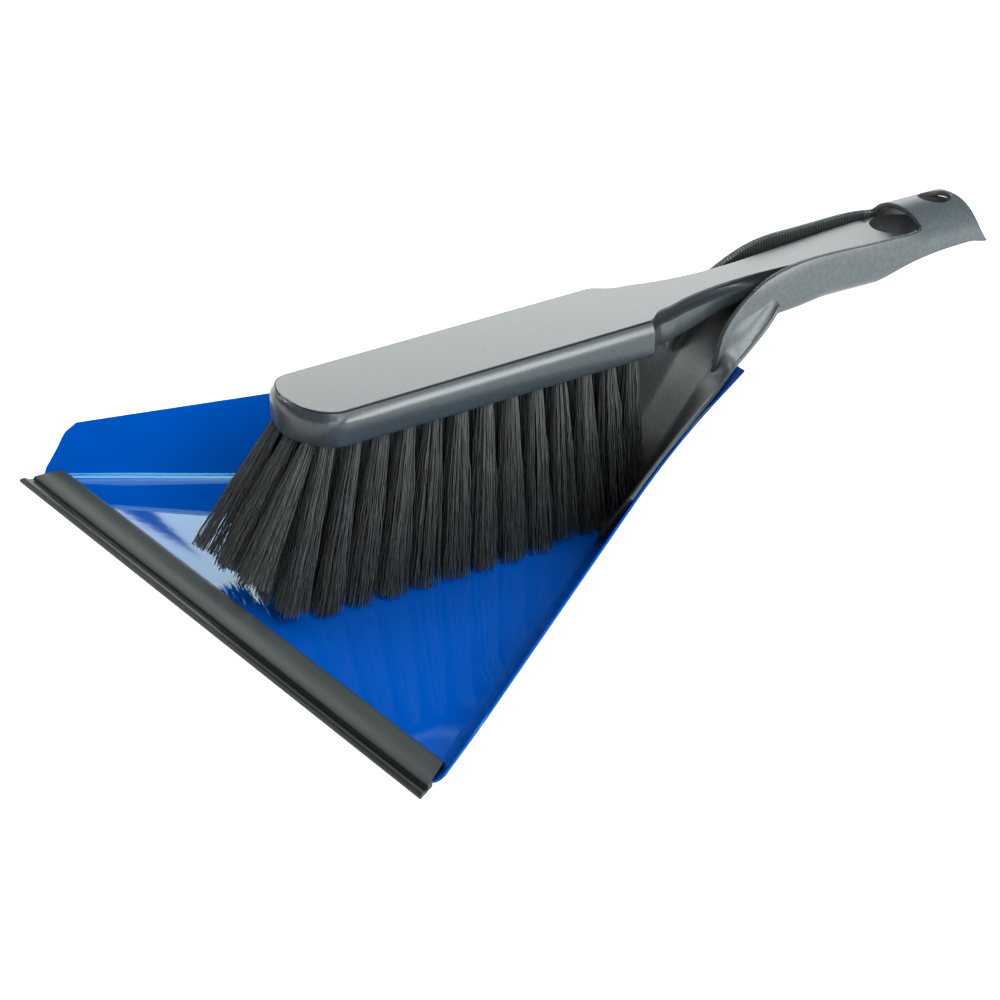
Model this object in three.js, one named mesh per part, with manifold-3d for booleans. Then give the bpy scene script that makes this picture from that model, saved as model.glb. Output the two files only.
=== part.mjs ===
import * as THREE from 'three';
import { mergeVertices } from 'three/addons/utils/BufferGeometryUtils.js';
import Module from 'manifold-3d';

const wasm = await Module();
wasm.setup();

// All sizes in millimetres. Stations along the set are measured from the lip's front edge
// towards the handle's end (Y); X runs across the set, Z is height above the table.

// fits
const restGap = 0.3;            // between touching pieces

// rubber lip
const lipDepth = 13.1;
const lipHeight = 3.75;
const lipEndTaper = 0.573;      // loss of half width per millimetre, along the cut ends
const lipBladeHeight = 1.1;
const lipNoseDepth = 6.3;       // solid rubber in front of the sheet's edge

// dust pan sheet
const panWidth = 240;           // across the tips of the lip
const panDepth = 194;           // lip's front edge to the rear end of the sheet
const sheetThickness = 0.8;
const bendRadius = 5;           // inside radius of the folds
const bendSteps = 4;            // facets in a fold
const foldInset = 7.3;          // fold's inset from the lip's tip, at the back of the lip
const wallSpread = 0.755;       // outward run per millimetre of wall height
const rimFrontHeight = 16.5;    // height of the side wall's upper front corner
const rimFrontSetback = 8.4;    // and its distance behind the lip
const rimRise = 0.1527;         // gain of rim height per millimetre of depth
const cornerCutHeight = 14.1;   // lower corner of the clipped front edge
const cornerCutSetback = 4;
const toeHeight = 2.3;          // where the side wall rises out of the lip
const toeSetback = 1.3;         // behind the sheet's front edge
const rimEndHalfWidth = 20;     // rim at the rear end
const rimEndHeight = 40.5;
const rampLength = 46;          // last stretch of the floor, where it turns up to the handle
const rampHalfWidth = 15.4;     // floor where that stretch begins
const floorEndHalfWidth = 8;    // and the width it runs out to

// pan handle
const skirtLength = 78;         // skirt that lines the pan, along the sheet
const skirtThickness = 1.3;
const skirtFrontDrop = 0.5;     // skirt's edge below the rim at its front
const skirtEdgeDrop = 3.2;      // and at the back of the pan
const hookReach = 19;           // skirt's edge runs into the trough's side this far behind the sheet
const hookRise = 4.7;           // and this high above the trough's bottom
const troughLead = 6;           // trough's front edge before the sheet's rear end
const troughLength = 89;        // from there to the hood
const troughFlare = 4;          // outward spread of the walls' feet at the front
const troughWall = 1.8;
const troughSideDepth = 8.4;    // trough's widest line above its bottom
const troughRimRise = 2.6;      // trough's rim above the brush
const troughRimSag = 0.9;       // dip of the rim in front of the hood
const troughNarrowLead = 48;    // narrow stretch of the trough ends here, behind its front edge
const troughWideLead = 15;      // full width is reached this far before the hood
const rimSweepLength = 43;      // curved front edge of the trough's walls
const bottomEndLead = 21;       // the trough's closed bottom ends this far before the hood
const bottomSweep = 34;         // curve from the closed bottom to the hood's lower edge
const neckClearance = 4.2;      // trough's inside to the brush's neck
const grooveClearance = 0.7;    // to the eyelet, where the trough is narrow
const eyeletClearance = 1.8;    // to the eyelet, under the hood
const hoodHeadroom = 4.9;       // hood's inside above the brush
const hoodSideDepth = 13.2;     // crown to the lower edge of the hood's sides
const hoodFootDepth = 14.8;     // and to its rear corners
const hoodLength = 23.6;        // along the crown
const hoodFootReach = 5.4;      // rear corners behind the crown's end
const hoodEndInset = 0.4;       // hood's end is narrower than its front by this on each side
const hangHoleRadius = 5.6;
const hangHoleInset = 7;        // centre before the crown's end

// hand brush
const brushBottomHeight = 53.7; // underside of the block
const blockThickness = 10.9;
const blockLength = 125.3;
const brushShoulderHalfWidth = 18.6;
const brushTopHalfWidth = 17.1;
const brushNoseLength = 11.5;   // plan ellipse of the nose
const brushTopRise = 0.0085;    // per millimetre towards the handle
const brushShoulderDrop = 4.3;  // chamfer below the top face
const blockLowBevel = 0.8;
const neckLength = 45.5;        // block's end to the narrowest place
const neckHalfWidth = 6.4;
const neckThickness = 9.6;
const fluteDepth = 2.2;         // finger flute along the neck
const gripLength = 65;          // narrowest place to the widest
const gripHalfWidth = 10.6;
const gripBevel = 0.6;
const gripRest = 28;            // the grip's lowest place before its widest
const gripToEyelet = 8.5;
const eyeletLead = 0.5;         // eyelet's centre before the hood's front edge
const eyeletRadius = 9.3;
const eyeletRim = 2.1;
const eyeletThickness = 8.6;
const eyeletBevel = 2.4;        // the eyelet's upper edge is taken in by this under the hood
const eyeletLowBevel = 2.6;     // and its lower edge by this

// bristle tufts
const tuftRows = 4;
const tuftColumns = 13;
const tuftRowPitch = 8.8;
const tuftFrontInset = 8.1;     // first column behind the block's front end
const tuftRearInset = 5.6;      // last column before the block's end
const tuftRadius = 2.3;
const tuftHoleDepth = 6;
const tuftTipGap = 0.5;         // between neighbouring tufts at their tips
const tuftFrontSpread = 1.33;   // tip's distance from the middle plane against the root's, first column
const tuftMidSpread = 1.6;      // middle columns
const tuftBackSpread = 1.27;    // last column
const tuftFrontLean = 18;       // forward throw of the first column's tips
const tuftBackLean = 3;         // and of the last column's
const noseTufts = 3;
const noseTuftInset = 4.2;      // behind the block's front end
const noseTuftPitch = 8.8;
const noseTuftLean = 25;
const noseTuftSpread = 1.5;
const noseTuftTrim = 0.7;       // slope of the cut across their tips
const noseTuftShare = 0.9;      // their size against the other tufts'
const noseTuftTipHeight = 15;
const bristleClearance = 0.6;   // bristle tips above the pan

// ---- places that follow from the sizes above ----

const halfPan = panWidth / 2;
const sheetFront = lipNoseDepth + restGap;
const rimFrontStation = lipDepth + rimFrontSetback;
const rampStation = panDepth - rampLength;
const skirtStation = panDepth - skirtLength;
const hookStation = panDepth + hookReach;
const troughStation = panDepth - troughLead;
const hoodStation = troughStation + troughLength;
const hoodEndTop = hoodStation + hoodLength;
const hoodEndFoot = hoodEndTop + hoodFootReach;
const overallLength = hoodEndFoot;

const eyeletStation = hoodStation - eyeletLead;
const gripStation = eyeletStation - gripToEyelet;
const neckStation = gripStation - gripLength;
const brushBlockEnd = neckStation - neckLength;
const brushNoseStation = brushBlockEnd - blockLength;
const brushTop = (y) => brushBottomHeight + blockThickness + brushTopRise * (y - brushNoseStation);
const eyeletHalfWidth = eyeletRadius + eyeletRim;

const troughBottom = brushBottomHeight - restGap - troughWall;
const troughShoulder = troughBottom + troughSideDepth;
const troughRimHeight = brushTop(gripStation) + troughRimRise;
const hookHeight = troughBottom + hookRise;
const hoodHeight = brushTop(eyeletStation) + hoodHeadroom + troughWall;
const hoodSideHeight = hoodHeight - hoodSideDepth;
const hoodFootHeight = hoodHeight - hoodFootDepth;
const troughFrontHalfWidth = neckHalfWidth + neckClearance + troughWall;
const troughMidHalfWidth = eyeletHalfWidth + grooveClearance + troughWall;
const troughBackHalfWidth = eyeletHalfWidth + eyeletClearance + troughWall;
const hookHalfWidth = troughMidHalfWidth + troughWall;

const tuftPitch = (blockLength - tuftFrontInset - tuftRearInset) / (tuftColumns - 1);
const tuftTipHalfY = (tuftPitch - tuftTipGap) / 2;
const tuftLeastSpread = Math.min(tuftFrontSpread, tuftMidSpread, tuftBackSpread);
const tuftTipHalfX = (tuftRowPitch * tuftLeastSpread - tuftTipGap) / 2;

const quarterTurn = Math.PI / 2;
const beyond = 10;              // how far a cutter reaches past the solid it cuts
const cutLift = 0.2;            // a cut stays this far off a face it runs along

// ---- small helpers ----

const mix = (a, b, t) => a + (b - a) * t;
const clamp01 = (t) => Math.min(1, Math.max(0, t));
const smooth = (t) => clamp01(t) ** 2 * (3 - 2 * clamp01(t));
const steps = (a, b, n) => Array.from({ length: n + 1 }, (_, i) => mix(a, b, i / n));

// smooth curve through (station, value) knots, flat at both ends
function curveThrough(knots) {
  return (y) => {
    if (y <= knots[0][0]) return knots[0][1];
    for (let i = 1; i < knots.length; i++) {
      const [y1, v1] = knots[i];
      const [y0, v0] = knots[i - 1];
      if (y <= y1) return mix(v0, v1, smooth((y - y0) / (y1 - y0)));
    }
    return knots[knots.length - 1][1];
  };
}

// closed solid from indexed points, turned so that its faces point out
function solidFrom(points, faces) {
  let volume = 0;
  const a = new THREE.Vector3();
  const b = new THREE.Vector3();
  const c = new THREE.Vector3();
  for (const [i, j, k] of faces) {
    a.fromArray(points[i]);
    b.fromArray(points[j]);
    c.fromArray(points[k]);
    volume += a.dot(b.cross(c));
  }
  const index = faces.flatMap(([i, j, k]) => (volume < 0 ? [i, k, j] : [i, j, k]));
  const geometry = new THREE.BufferGeometry();
  geometry.setAttribute('position', new THREE.Float32BufferAttribute(points.flat(), 3));
  geometry.setIndex(index);
  return geometry;
}

// solid skinned over rings of equal length; each end is closed by strips between the two
// halves of its ring
function loft(rings) {
  const n = rings[0].length;
  const faces = [];
  for (let r = 1; r < rings.length; r++) {
    for (let i = 0; i < n; i++) {
      const j = (i + 1) % n;
      const low = (r - 1) * n;
      const high = r * n;
      // the same diagonal on both sides of the middle plane and on both faces of a layer
      if (Math.abs(rings[r][i][0]) < Math.abs(rings[r][j][0])) {
        faces.push([low + i, low + j, high + i], [low + j, high + j, high + i]);
      } else {
        faces.push([low + i, low + j, high + j], [low + i, high + j, high + i]);
      }
    }
  }
  const last = (rings.length - 1) * n;
  for (let i = 0; i < n / 2 - 1; i++) {
    const [a, b, c, d] = [i, i + 1, n - 2 - i, n - 1 - i];
    faces.push([a, c, b], [a, d, c]);
    faces.push([last + a, last + b, last + c], [last + a, last + c, last + d]);
  }
  return solidFrom(rings.flat(), faces.filter(([i, j, k]) => i !== j && j !== k && k !== i));
}

// prism across the set, from a side-view outline of [station, height] points
function prism(outline, halfWidth) {
  const shape = new THREE.Shape(outline.map(([y, z]) => new THREE.Vector2(y, z)));
  const geometry = new THREE.ExtrudeGeometry(shape, { depth: 2 * halfWidth, bevelEnabled: false });
  geometry.translate(0, 0, -halfWidth);
  const acrossX = new THREE.Matrix4().makeBasis(
    new THREE.Vector3(0, 1, 0),
    new THREE.Vector3(0, 0, 1),
    new THREE.Vector3(1, 0, 0),
  );
  return geometry.applyMatrix4(acrossX);
}

const toManifold = (geometry) => {
  const bare = geometry.clone();
  bare.deleteAttribute('normal');
  bare.deleteAttribute('uv');
  const merged = mergeVertices(bare, 1e-4);
  return new wasm.Manifold(new wasm.Mesh({
    numProp: 3,
    vertProperties: new Float32Array(merged.attributes.position.array),
    triVerts: new Uint32Array(merged.index.array),
  }));
};

const toGeometry = (manifold) => {
  const mesh = manifold.getMesh();
  const geometry = new THREE.BufferGeometry();
  geometry.setAttribute('position', new THREE.BufferAttribute(new Float32Array(mesh.vertProperties), 3));
  geometry.setIndex(new THREE.BufferAttribute(new Uint32Array(mesh.triVerts), 1));
  return geometry;
};

const sideCutter = (outline) => toManifold(prism(outline, panWidth));

// upright cylinder
function post(x, y, low, high, radius, sides) {
  const cylinder = new THREE.CylinderGeometry(radius, radius, high - low, sides);
  cylinder.rotateX(quarterTurn);
  cylinder.translate(x, y, (low + high) / 2);
  return toManifold(cylinder);
}

// mirrors half an outline, listed from the middle plane outwards, into a left-to-right one
const bothSides = (half) => [...half.slice(1).reverse().map(([x, z]) => [-x, z]), ...half];

// ---- the pan's inner surface: fold line, rim and floor as functions of the station ----

// loss of the floor's half width per millimetre of depth
const floorTaper = (halfPan - foldInset - rampHalfWidth) / (rampStation - lipDepth);
const straightFold = (y) => halfPan - foldInset - floorTaper * (y - lipDepth);

function floorHalfWidth(y) {
  if (y <= rampStation) return straightFold(y);
  const room = rampHalfWidth - floorEndHalfWidth;
  return floorEndHalfWidth + room * Math.exp(-(y - rampStation) * floorTaper / room);
}

const floorHeight = curveThrough([
  [rampStation, sheetThickness],
  [hookStation, troughBottom + restGap],
]);

const straightRimHeight = (y) => rimFrontHeight + rimRise * (y - rimFrontStation);
const straightRimX = (y) => straightFold(y) + wallSpread * (straightRimHeight(y) - sheetThickness);

// rim past its straight stretch: bends evenly to its end at panDepth, then on to the hook
function rimPoint(y) {
  if (y <= skirtStation) return [straightRimX(y), straightRimHeight(y)];
  if (y <= panDepth) {
    const t = ((y - skirtStation) / skirtLength) ** 2;
    const dx = rimEndHalfWidth - straightRimX(panDepth);
    const dz = rimEndHeight - straightRimHeight(panDepth);
    return [straightRimX(y) + dx * t, straightRimHeight(y) + dz * t];
  }
  const t = (y - panDepth) / hookReach;
  return [mix(rimEndHalfWidth, hookHalfWidth, t ** 1.4), mix(rimEndHeight, hookHeight, t ** 1.15)];
}

// skirt's edge below the rim: it parts from the rim where the floor turns up
const edgeDropAt = curveThrough([
  [rampStation, skirtFrontDrop],
  [panDepth, skirtEdgeDrop],
  [hookStation, skirtFrontDrop],
]);

// half a cross-section of the pan from the middle plane outwards, offset outwards by o: it ends
// at the skirt's edge, or goes on to the rim
function trayHalf(y, o, toRim) {
  const xf = floorHalfWidth(y);
  const zb = floorHeight(y);
  const [xr, zr] = rimPoint(y);
  const lean = Math.atan2(zr - zb, xr - xf);
  const tangent = bendRadius * Math.tan(lean / 2);
  const arc = steps(0, lean, bendSteps).map((a) => [
    xf - tangent + (bendRadius + o) * Math.sin(a),
    zb + bendRadius - (bendRadius + o) * Math.cos(a),
  ]);
  const below = (drop) => [
    xr + o * Math.sin(lean) - drop * Math.cos(lean),
    zr - o * Math.cos(lean) - drop * Math.sin(lean),
  ];
  return [[0, zb - o], ...arc, below(edgeDropAt(y)), ...(toRim ? [below(0)] : [])];
}

// closed cross-section of a layer of the pan between two offsets
function trayRing(y, outer, inner, toRim) {
  const down = bothSides(trayHalf(y, outer, toRim));
  const up = bothSides(trayHalf(y, inner, toRim)).reverse();
  return [...down, ...up].map(([x, z]) => [x, y, z]);
}

// the sheet and the skirt inside it are skinned over the same stations
const trayStations = [
  sheetFront,
  ...steps(rimFrontStation, skirtStation, 3),
  ...steps(skirtStation, rampStation, 3).slice(1),
  ...steps(rampStation, panDepth, 12).slice(1),
];

function panSheet() {
  const sheet = toManifold(loft(trayStations.map((y) => trayRing(y, sheetThickness, 0, true))));
  const aboveFront = sideCutter([
    [sheetFront - beyond, sheetThickness + cutLift],
    [sheetFront - cutLift, sheetThickness + cutLift],
    [sheetFront + toeSetback, toeHeight],
    [lipDepth + cornerCutSetback, cornerCutHeight],
    [rimFrontStation, rimFrontHeight],
    [rimFrontStation, rimFrontHeight + beyond],
    [sheetFront - beyond, rimFrontHeight + beyond],
  ]);
  return toGeometry(sheet.subtract(aboveFront));
}

// ---- rubber lip: a wedge with a ridge and a groove along its front, ends cut on the pan's taper ----

function rubberLip() {
  const ridgeEnd = 0.33 * lipNoseDepth;
  const grooveEnd = 0.62 * lipNoseDepth;
  const outline = [
    [0, 0],
    [0, 0.6 * lipBladeHeight],
    [0.25 * ridgeEnd, lipBladeHeight],
    [0.7 * ridgeEnd, 1.2 * lipBladeHeight],
    [ridgeEnd, 1.1 * lipBladeHeight],
    [1.25 * ridgeEnd, 0.7 * lipBladeHeight],
    [grooveEnd, 0.8 * lipBladeHeight],
    [1.13 * grooveEnd, 1.6 * lipBladeHeight],
    [lipDepth - 1.6, 0.96 * lipHeight],
    [lipDepth - 0.8, lipHeight],
    [lipDepth - 0.15, 0.9 * lipHeight],
    [lipDepth, 0.73 * lipHeight],
    [lipDepth, 0],
  ];
  const geometry = prism(outline, halfPan);
  const position = geometry.attributes.position;
  for (let i = 0; i < position.count; i++) {
    position.setX(i, Math.sign(position.getX(i)) * (halfPan - lipEndTaper * position.getY(i)));
  }
  const seat = loft([lipNoseDepth, rimFrontStation].map((y) => trayRing(y, lipHeight, -restGap, true)));
  return toGeometry(toManifold(geometry).subtract(toManifold(seat)));
}

// ---- pan handle: skirt that lines the back of the pan, open trough, hood with hanging hole ----

const skirtOuter = -restGap;
const skirtInner = -restGap - skirtThickness;

const skirtStations = [
  ...trayStations.filter((y) => y >= skirtStation),
  ...steps(panDepth, hookStation, 5).slice(1),
];
const skirtLayer = (outer, inner) => toManifold(
  loft(skirtStations.map((y) => trayRing(y, outer, inner, false))));

// the trough's walls start inside the skirt, the sections change while they rise out of it
const troughSplay = mix(troughStation, hookStation, 0.56);
const troughNarrowEnd = troughStation + troughNarrowLead;
const troughHalfWidth = curveThrough([
  [troughSplay, troughFrontHalfWidth],
  [troughNarrowEnd, troughMidHalfWidth],
  [hoodStation - troughWideLead, troughBackHalfWidth],
  [hoodStation, troughBackHalfWidth],
  [hoodEndTop, troughBackHalfWidth - hoodEndInset],
]);
// exponents of the section's upper and lower half: 2 is an ellipse, more is squarer
const topRoundness = curveThrough([
  [troughSplay, 2],
  [troughNarrowEnd, 5],
  [hoodStation - 0.8 * troughWideLead, 5],
  [hoodStation + 1, 2.2],
]);
const lowRoundness = curveThrough([[troughSplay, 8], [troughNarrowEnd, 2.7]]);
const flareAt = curveThrough([
  [mix(troughStation, hookStation, 0.16), troughFlare],
  [mix(troughStation, hookStation, 1.24), 0],
]);

// closed section of the trough and hood before they are cut open, shrunk by inset
function tubeRing(y, inset) {
  const halfWidth = troughHalfWidth(y) - inset;
  const floor = y < hookStation ? floorHeight(y) + restGap + cutLift / 2 : troughBottom;
  const low = floor + (y < hookStation ? Math.min(inset, skirtThickness * 0.7) : inset);
  const count = 28;
  return Array.from({ length: count }, (_, i) => {
    const a = (i / count) * 2 * Math.PI;
    const c = Math.cos(a);
    const s = Math.sin(a);
    const n = s > 0 ? topRoundness(y) : lowRoundness(y);
    const spread = s > 0 ? 0 : flareAt(y) * Math.abs(s);
    const reach = s > 0 ? hoodHeight - inset - troughShoulder : troughShoulder - low;
    const onMiddle = Math.abs(c) < 0.01;
    return [
      onMiddle ? 0 : Math.sign(c) * (halfWidth * Math.abs(c) ** (2 / n) + spread),
      y,
      troughShoulder + reach * Math.sign(s) * Math.abs(s) ** (2 / n),
    ];
  });
}

function tube(inset, front, back) {
  const stations = [
    front,
    ...steps(troughStation, hookStation, 5).slice(1),
    ...steps(hookStation, hoodStation, 7).slice(1),
    ...steps(hoodStation, hoodEndTop, 2).slice(1, -1),
    back,
  ];
  return toManifold(loft(stations.map((y) => tubeRing(y, inset))));
}

// side view of the trough's rim: swept front edge, level rim, step up to the hood
function openTop() {
  const footHeight = rimEndHeight - 0.5;
  const sweep = steps(0, quarterTurn, 9).map((a) => [
    troughStation + rimSweepLength * (1 - Math.cos(a)),
    footHeight + (troughRimHeight - footHeight) * Math.sin(a),
  ]);
  return sideCutter([
    ...sweep,
    [hoodStation - troughWideLead, troughRimHeight - troughRimSag / 2],
    [hoodStation - 0.6, troughRimHeight - troughRimSag],
    [hoodStation, troughRimHeight],
    [hoodStation + 0.6, hoodHeight + beyond],
    [troughStation - beyond, hoodHeight + beyond],
    [troughStation - beyond, footHeight],
  ]);
}

// side view of the open bottom under the hood
function openBottom() {
  const bottomEnd = hoodStation - bottomEndLead;
  return sideCutter([
    [bottomEnd, troughBottom - beyond],
    ...steps(0.16 * quarterTurn, quarterTurn, 6).map((a) => [
      bottomEnd + bottomSweep * (1 - Math.cos(a)),
      mix(troughBottom, hoodSideHeight, Math.sin(a)),
    ]),
    [hoodEndTop - 2, hoodSideHeight - cutLift],
    [hoodEndFoot, hoodFootHeight],
    [hoodEndFoot + beyond, hoodFootHeight - 2],
    [hoodEndFoot + beyond, troughBottom - beyond],
  ]);
}

// side view of the hood's end: upright at the crown, swept back to the rear corners
function hoodEnd() {
  const sweep = steps(0, 1, 5).map((t) => [
    mix(hoodEndTop, hoodEndFoot, 0.2 * t + 0.8 * t ** 3),
    mix(hoodHeight, hoodFootHeight, t),
  ]);
  return sideCutter([
    [hoodEndTop, hoodHeight + beyond],
    ...sweep,
    [hoodEndFoot + 1, hoodFootHeight - beyond],
    [hoodEndFoot + beyond, hoodFootHeight - beyond],
    [hoodEndFoot + beyond, hoodHeight + beyond],
  ]);
}

function panHandle() {
  const hangHoleStation = hoodEndTop - hangHoleInset;
  const hangHole = post(0, hangHoleStation, hoodSideHeight, hoodHeight + beyond, hangHoleRadius, 20);
  const belowSkirt = skirtLayer(troughBottom, skirtOuter - skirtThickness / 2);
  const shell = tube(0, troughStation, hoodEndFoot + 1)
    .subtract(tube(troughWall, troughStation - 1, hoodEndFoot + 2))
    .subtract(openTop())
    .subtract(openBottom())
    .subtract(hoodEnd())
    .subtract(hangHole)
    .subtract(belowSkirt);
  return toGeometry(shell.add(skirtLayer(skirtOuter, skirtInner)));
}

// ---- hand brush ----

const noseCentre = brushNoseStation + brushNoseLength;

// share of the neck's length behind the block
const alongNeck = (share) => mix(brushBlockEnd, neckStation, share);

// upper edge's half width
const bodyHalfWidth = curveThrough([
  [brushBlockEnd, brushTopHalfWidth],
  [alongNeck(0.2), brushTopHalfWidth * 0.3 + neckHalfWidth * 0.95],
  [alongNeck(0.57), neckHalfWidth * 1.19],
  [neckStation, neckHalfWidth],
  [gripStation, gripHalfWidth],
]);
const ledgeWidth = curveThrough([
  [brushBlockEnd, brushShoulderHalfWidth - brushTopHalfWidth],
  [alongNeck(0.26), 0.9],
  [alongNeck(1.22), 0],
]);
const fluteAt = curveThrough([
  [brushBlockEnd, 0],
  [alongNeck(0.11), fluteDepth],
  [alongNeck(0.82), fluteDepth * 0.7],
  [alongNeck(1.31), 0],
]);
const bodyBottom = curveThrough([
  [brushBlockEnd, brushBottomHeight],
  [alongNeck(1.13), brushTop(neckStation) - neckThickness],
  [gripStation - gripRest, brushBottomHeight],
  [eyeletStation - eyeletRadius, brushTop(eyeletStation) - eyeletThickness],
]);
// 0 where the underside is flat and full width, 1 where it is rounded
const undersideRound = curveThrough([
  [alongNeck(0.18), 0],
  [alongNeck(1.05), 1],
  [gripStation - gripToEyelet, 1],
  [gripStation + cutLift, 0],
]);
const lowBevelAt = curveThrough([
  [gripStation - 2 * gripToEyelet, blockLowBevel],
  [gripStation, eyeletLowBevel],
]);
const topBevelAt = curveThrough([
  [eyeletStation - 5, gripBevel],
  [eyeletStation + 3, eyeletBevel],
]);

// plan outline of the rounded nose and of the round eyelet end, as a share of the width
function noseShare(y, extra) {
  const t = (noseCentre - y) / (brushNoseLength + extra);
  return t <= 0 ? 1 : Math.sqrt(Math.max(0, 1 - t * t));
}

function brushRing(y) {
  let top = bodyHalfWidth(y) * noseShare(y, brushTopHalfWidth - brushShoulderHalfWidth);
  let side = (bodyHalfWidth(y) + ledgeWidth(y)) * noseShare(y, 0);
  if (y > gripStation) {
    const swell = smooth((y - gripStation) / (eyeletStation - gripStation));
    const past = Math.max(0, y - eyeletStation);
    side = mix(gripHalfWidth, eyeletHalfWidth, swell);
    side = Math.min(side, Math.sqrt(Math.max(0, eyeletHalfWidth ** 2 - past ** 2)));
    top = side - topBevelAt(y);
  }
  top = Math.max(top, 0.6);
  side = Math.max(side, 0.9);
  const zLow = bodyBottom(y);
  const zShoulder = brushTop(y) - brushShoulderDrop;
  const chamferShare = clamp01((y - brushNoseStation) / (brushShoulderHalfWidth - brushTopHalfWidth));
  const zTop = mix(zShoulder, brushTop(y), Math.max(0.05, chamferShare));
  const flute = fluteAt(y);
  const round = undersideRound(y);
  const lowBevel = Math.min(side / 2, lowBevelAt(y));
  const half = [
    [0, zTop],
    [top, zTop],
    [mix(top, side, 0.35) - flute, mix(zTop, zShoulder, 0.4)],
    [side, zShoulder],
    [mix(side, side * 0.97, round), mix(zLow + 1.5 * lowBevel, mix(zShoulder, zLow, 0.35), round)],
    [mix(side - lowBevel, side * 0.72, round), mix(zLow, mix(zShoulder, zLow, 0.82), round)],
    [mix((side - lowBevel) * 0.7, side * 0.35, round), zLow],
  ];
  const left = half.slice(1).reverse().map(([x, z]) => [-x, z]);
  return [...half, [0, zLow], ...left].map(([x, z]) => [x, y, z]);
}

// every tuft's root, with its share of the way from the nose (0) to the block's end (1)
const tuftRoots = [];
for (let column = 0; column < tuftColumns; column++) {
  const share = column / (tuftColumns - 1);
  const y = brushNoseStation + tuftFrontInset + tuftPitch * column;
  for (let row = 0; row < tuftRows; row++) {
    const x = tuftRowPitch * (row - (tuftRows - 1) / 2);
    tuftRoots.push({ name: `tuft_row${row + 1}_${String(column + 1).padStart(2, '0')}`, x, y, share });
  }
}
for (let i = 0; i < noseTufts; i++) {
  const x = noseTuftPitch * (i - (noseTufts - 1) / 2);
  tuftRoots.push({ name: `tuft_nose_${i + 1}`, x, y: brushNoseStation + noseTuftInset, nose: true });
}

function brushBody() {
  const stations = [
    ...steps(quarterTurn, 0.09 * quarterTurn, 7).map((a) => noseCentre - brushNoseLength * Math.sin(a)),
    ...steps(noseCentre, brushBlockEnd, 3),
    ...steps(alongNeck(0.07), alongNeck(1.26), 12),
    ...steps(alongNeck(1.44), gripStation, 6),
    ...steps(gripStation + 2, eyeletStation, 3),
    ...steps(0.13 * quarterTurn, 0.955 * quarterTurn, 7).map(
      (a) => eyeletStation + eyeletHalfWidth * Math.sin(a)),
  ];
  let body = toManifold(loft(stations.map(brushRing)));
  body = body.subtract(post(0, eyeletStation, troughBottom, hoodHeight, eyeletRadius, 24));
  const holeTop = brushBottomHeight + tuftHoleDepth;
  for (const root of tuftRoots) {
    body = body.subtract(post(root.x, root.y, brushBottomHeight - beyond, holeTop, tuftRadius + restGap, 8));
  }
  return toGeometry(body);
}

// height of the pan's or the skirt's inner surface at a point
function panSurface(x, y) {
  const lined = y > skirtStation - bristleClearance;
  const half = trayHalf(Math.max(y, sheetFront), lined ? skirtInner : 0, true);
  const ax = Math.abs(x);
  for (let i = 1; i < half.length; i++) {
    const [x0, z0] = half[i - 1];
    const [x1, z1] = half[i];
    if (ax <= x1) return mix(z0, z1, (ax - x0) / (x1 - x0));
  }
  return half[half.length - 1][1];
}

const spreadAt = curveThrough([
  [0, tuftFrontSpread],
  [0.5, tuftMidSpread],
  [0.85, tuftMidSpread],
  [1, tuftBackSpread],
]);

function tuft({ x, y, share, nose }) {
  const count = 8;
  const ring = (cx, cy, rx, ry, height) => Array.from({ length: count }, (_, i) => {
    const a = ((i + 0.5) / count) * 2 * Math.PI;
    return [cx + rx * Math.cos(a), cy + ry * Math.sin(a), height(cy + ry * Math.sin(a))];
  });
  const rootTop = brushBottomHeight + tuftHoleDepth - restGap;
  const mouth = brushBottomHeight - restGap;
  const lean = nose ? noseTuftLean : tuftFrontLean * (1 - share) ** 1.3 + tuftBackLean * share ** 4;
  const tipX = x * (nose ? noseTuftSpread : spreadAt(share));
  const tipY = y - lean;
  const size = (nose ? noseTuftShare : 1) / Math.cos(Math.PI / count);
  let tipHeight = () => noseTuftTipHeight;
  if (nose) {
    // the nose tufts are trimmed square to their lean
    tipHeight = (py) => noseTuftTipHeight - (py - tipY) * noseTuftTrim;
  } else {
    const reaches = [-1, 0, 1].flatMap((sx) => [-1, 0, 1].map((sy) => (
      panSurface(tipX + sx * tuftTipHalfX, tipY + sy * tuftTipHalfY))));
    // tips just behind the lip stand above it, so that the brush can be drawn forward
    const overLip = tipY - tuftTipHalfY < lipDepth + tuftPitch ? lipHeight : 0;
    const height = Math.max(...reaches, overLip) + bristleClearance;
    tipHeight = () => height;
  }
  return loft([
    ring(x, y, tuftRadius, tuftRadius, () => rootTop),
    ring(x, y, tuftRadius, tuftRadius, () => mouth),
    ring(tipX, tipY, size * tuftTipHalfX, size * tuftTipHalfY, tipHeight),
  ]);
}

// ---- assembly ----

const bluePaint = { color: 0x0055bb, roughness: 0.15, metalness: 0.1 };
const greyRubber = { color: 0x6b7676, roughness: 0.6, metalness: 0 };
const blackPlastic = { color: 0x24282b, roughness: 0.35, metalness: 0 };
const blackBristle = { color: 0x121619, roughness: 0.5, metalness: 0 };

const set = new THREE.Group();
set.position.y = -overallLength / 2;

function place(name, geometry, look) {
  const mesh = new THREE.Mesh(geometry, new THREE.MeshStandardMaterial(look));
  mesh.name = name;
  set.add(mesh);
}

place('pan_sheet', panSheet(), bluePaint);
place('rubber_lip', rubberLip(), greyRubber);
place('pan_handle', panHandle(), blackPlastic);
place('brush_body', brushBody(), blackPlastic);
for (const root of tuftRoots) place(root.name, tuft(root), blackBristle);

const scene = new THREE.Group();
scene.add(set);
export default scene;
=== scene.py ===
import bpy
import math
import random
from mathutils import Matrix, Vector


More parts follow.
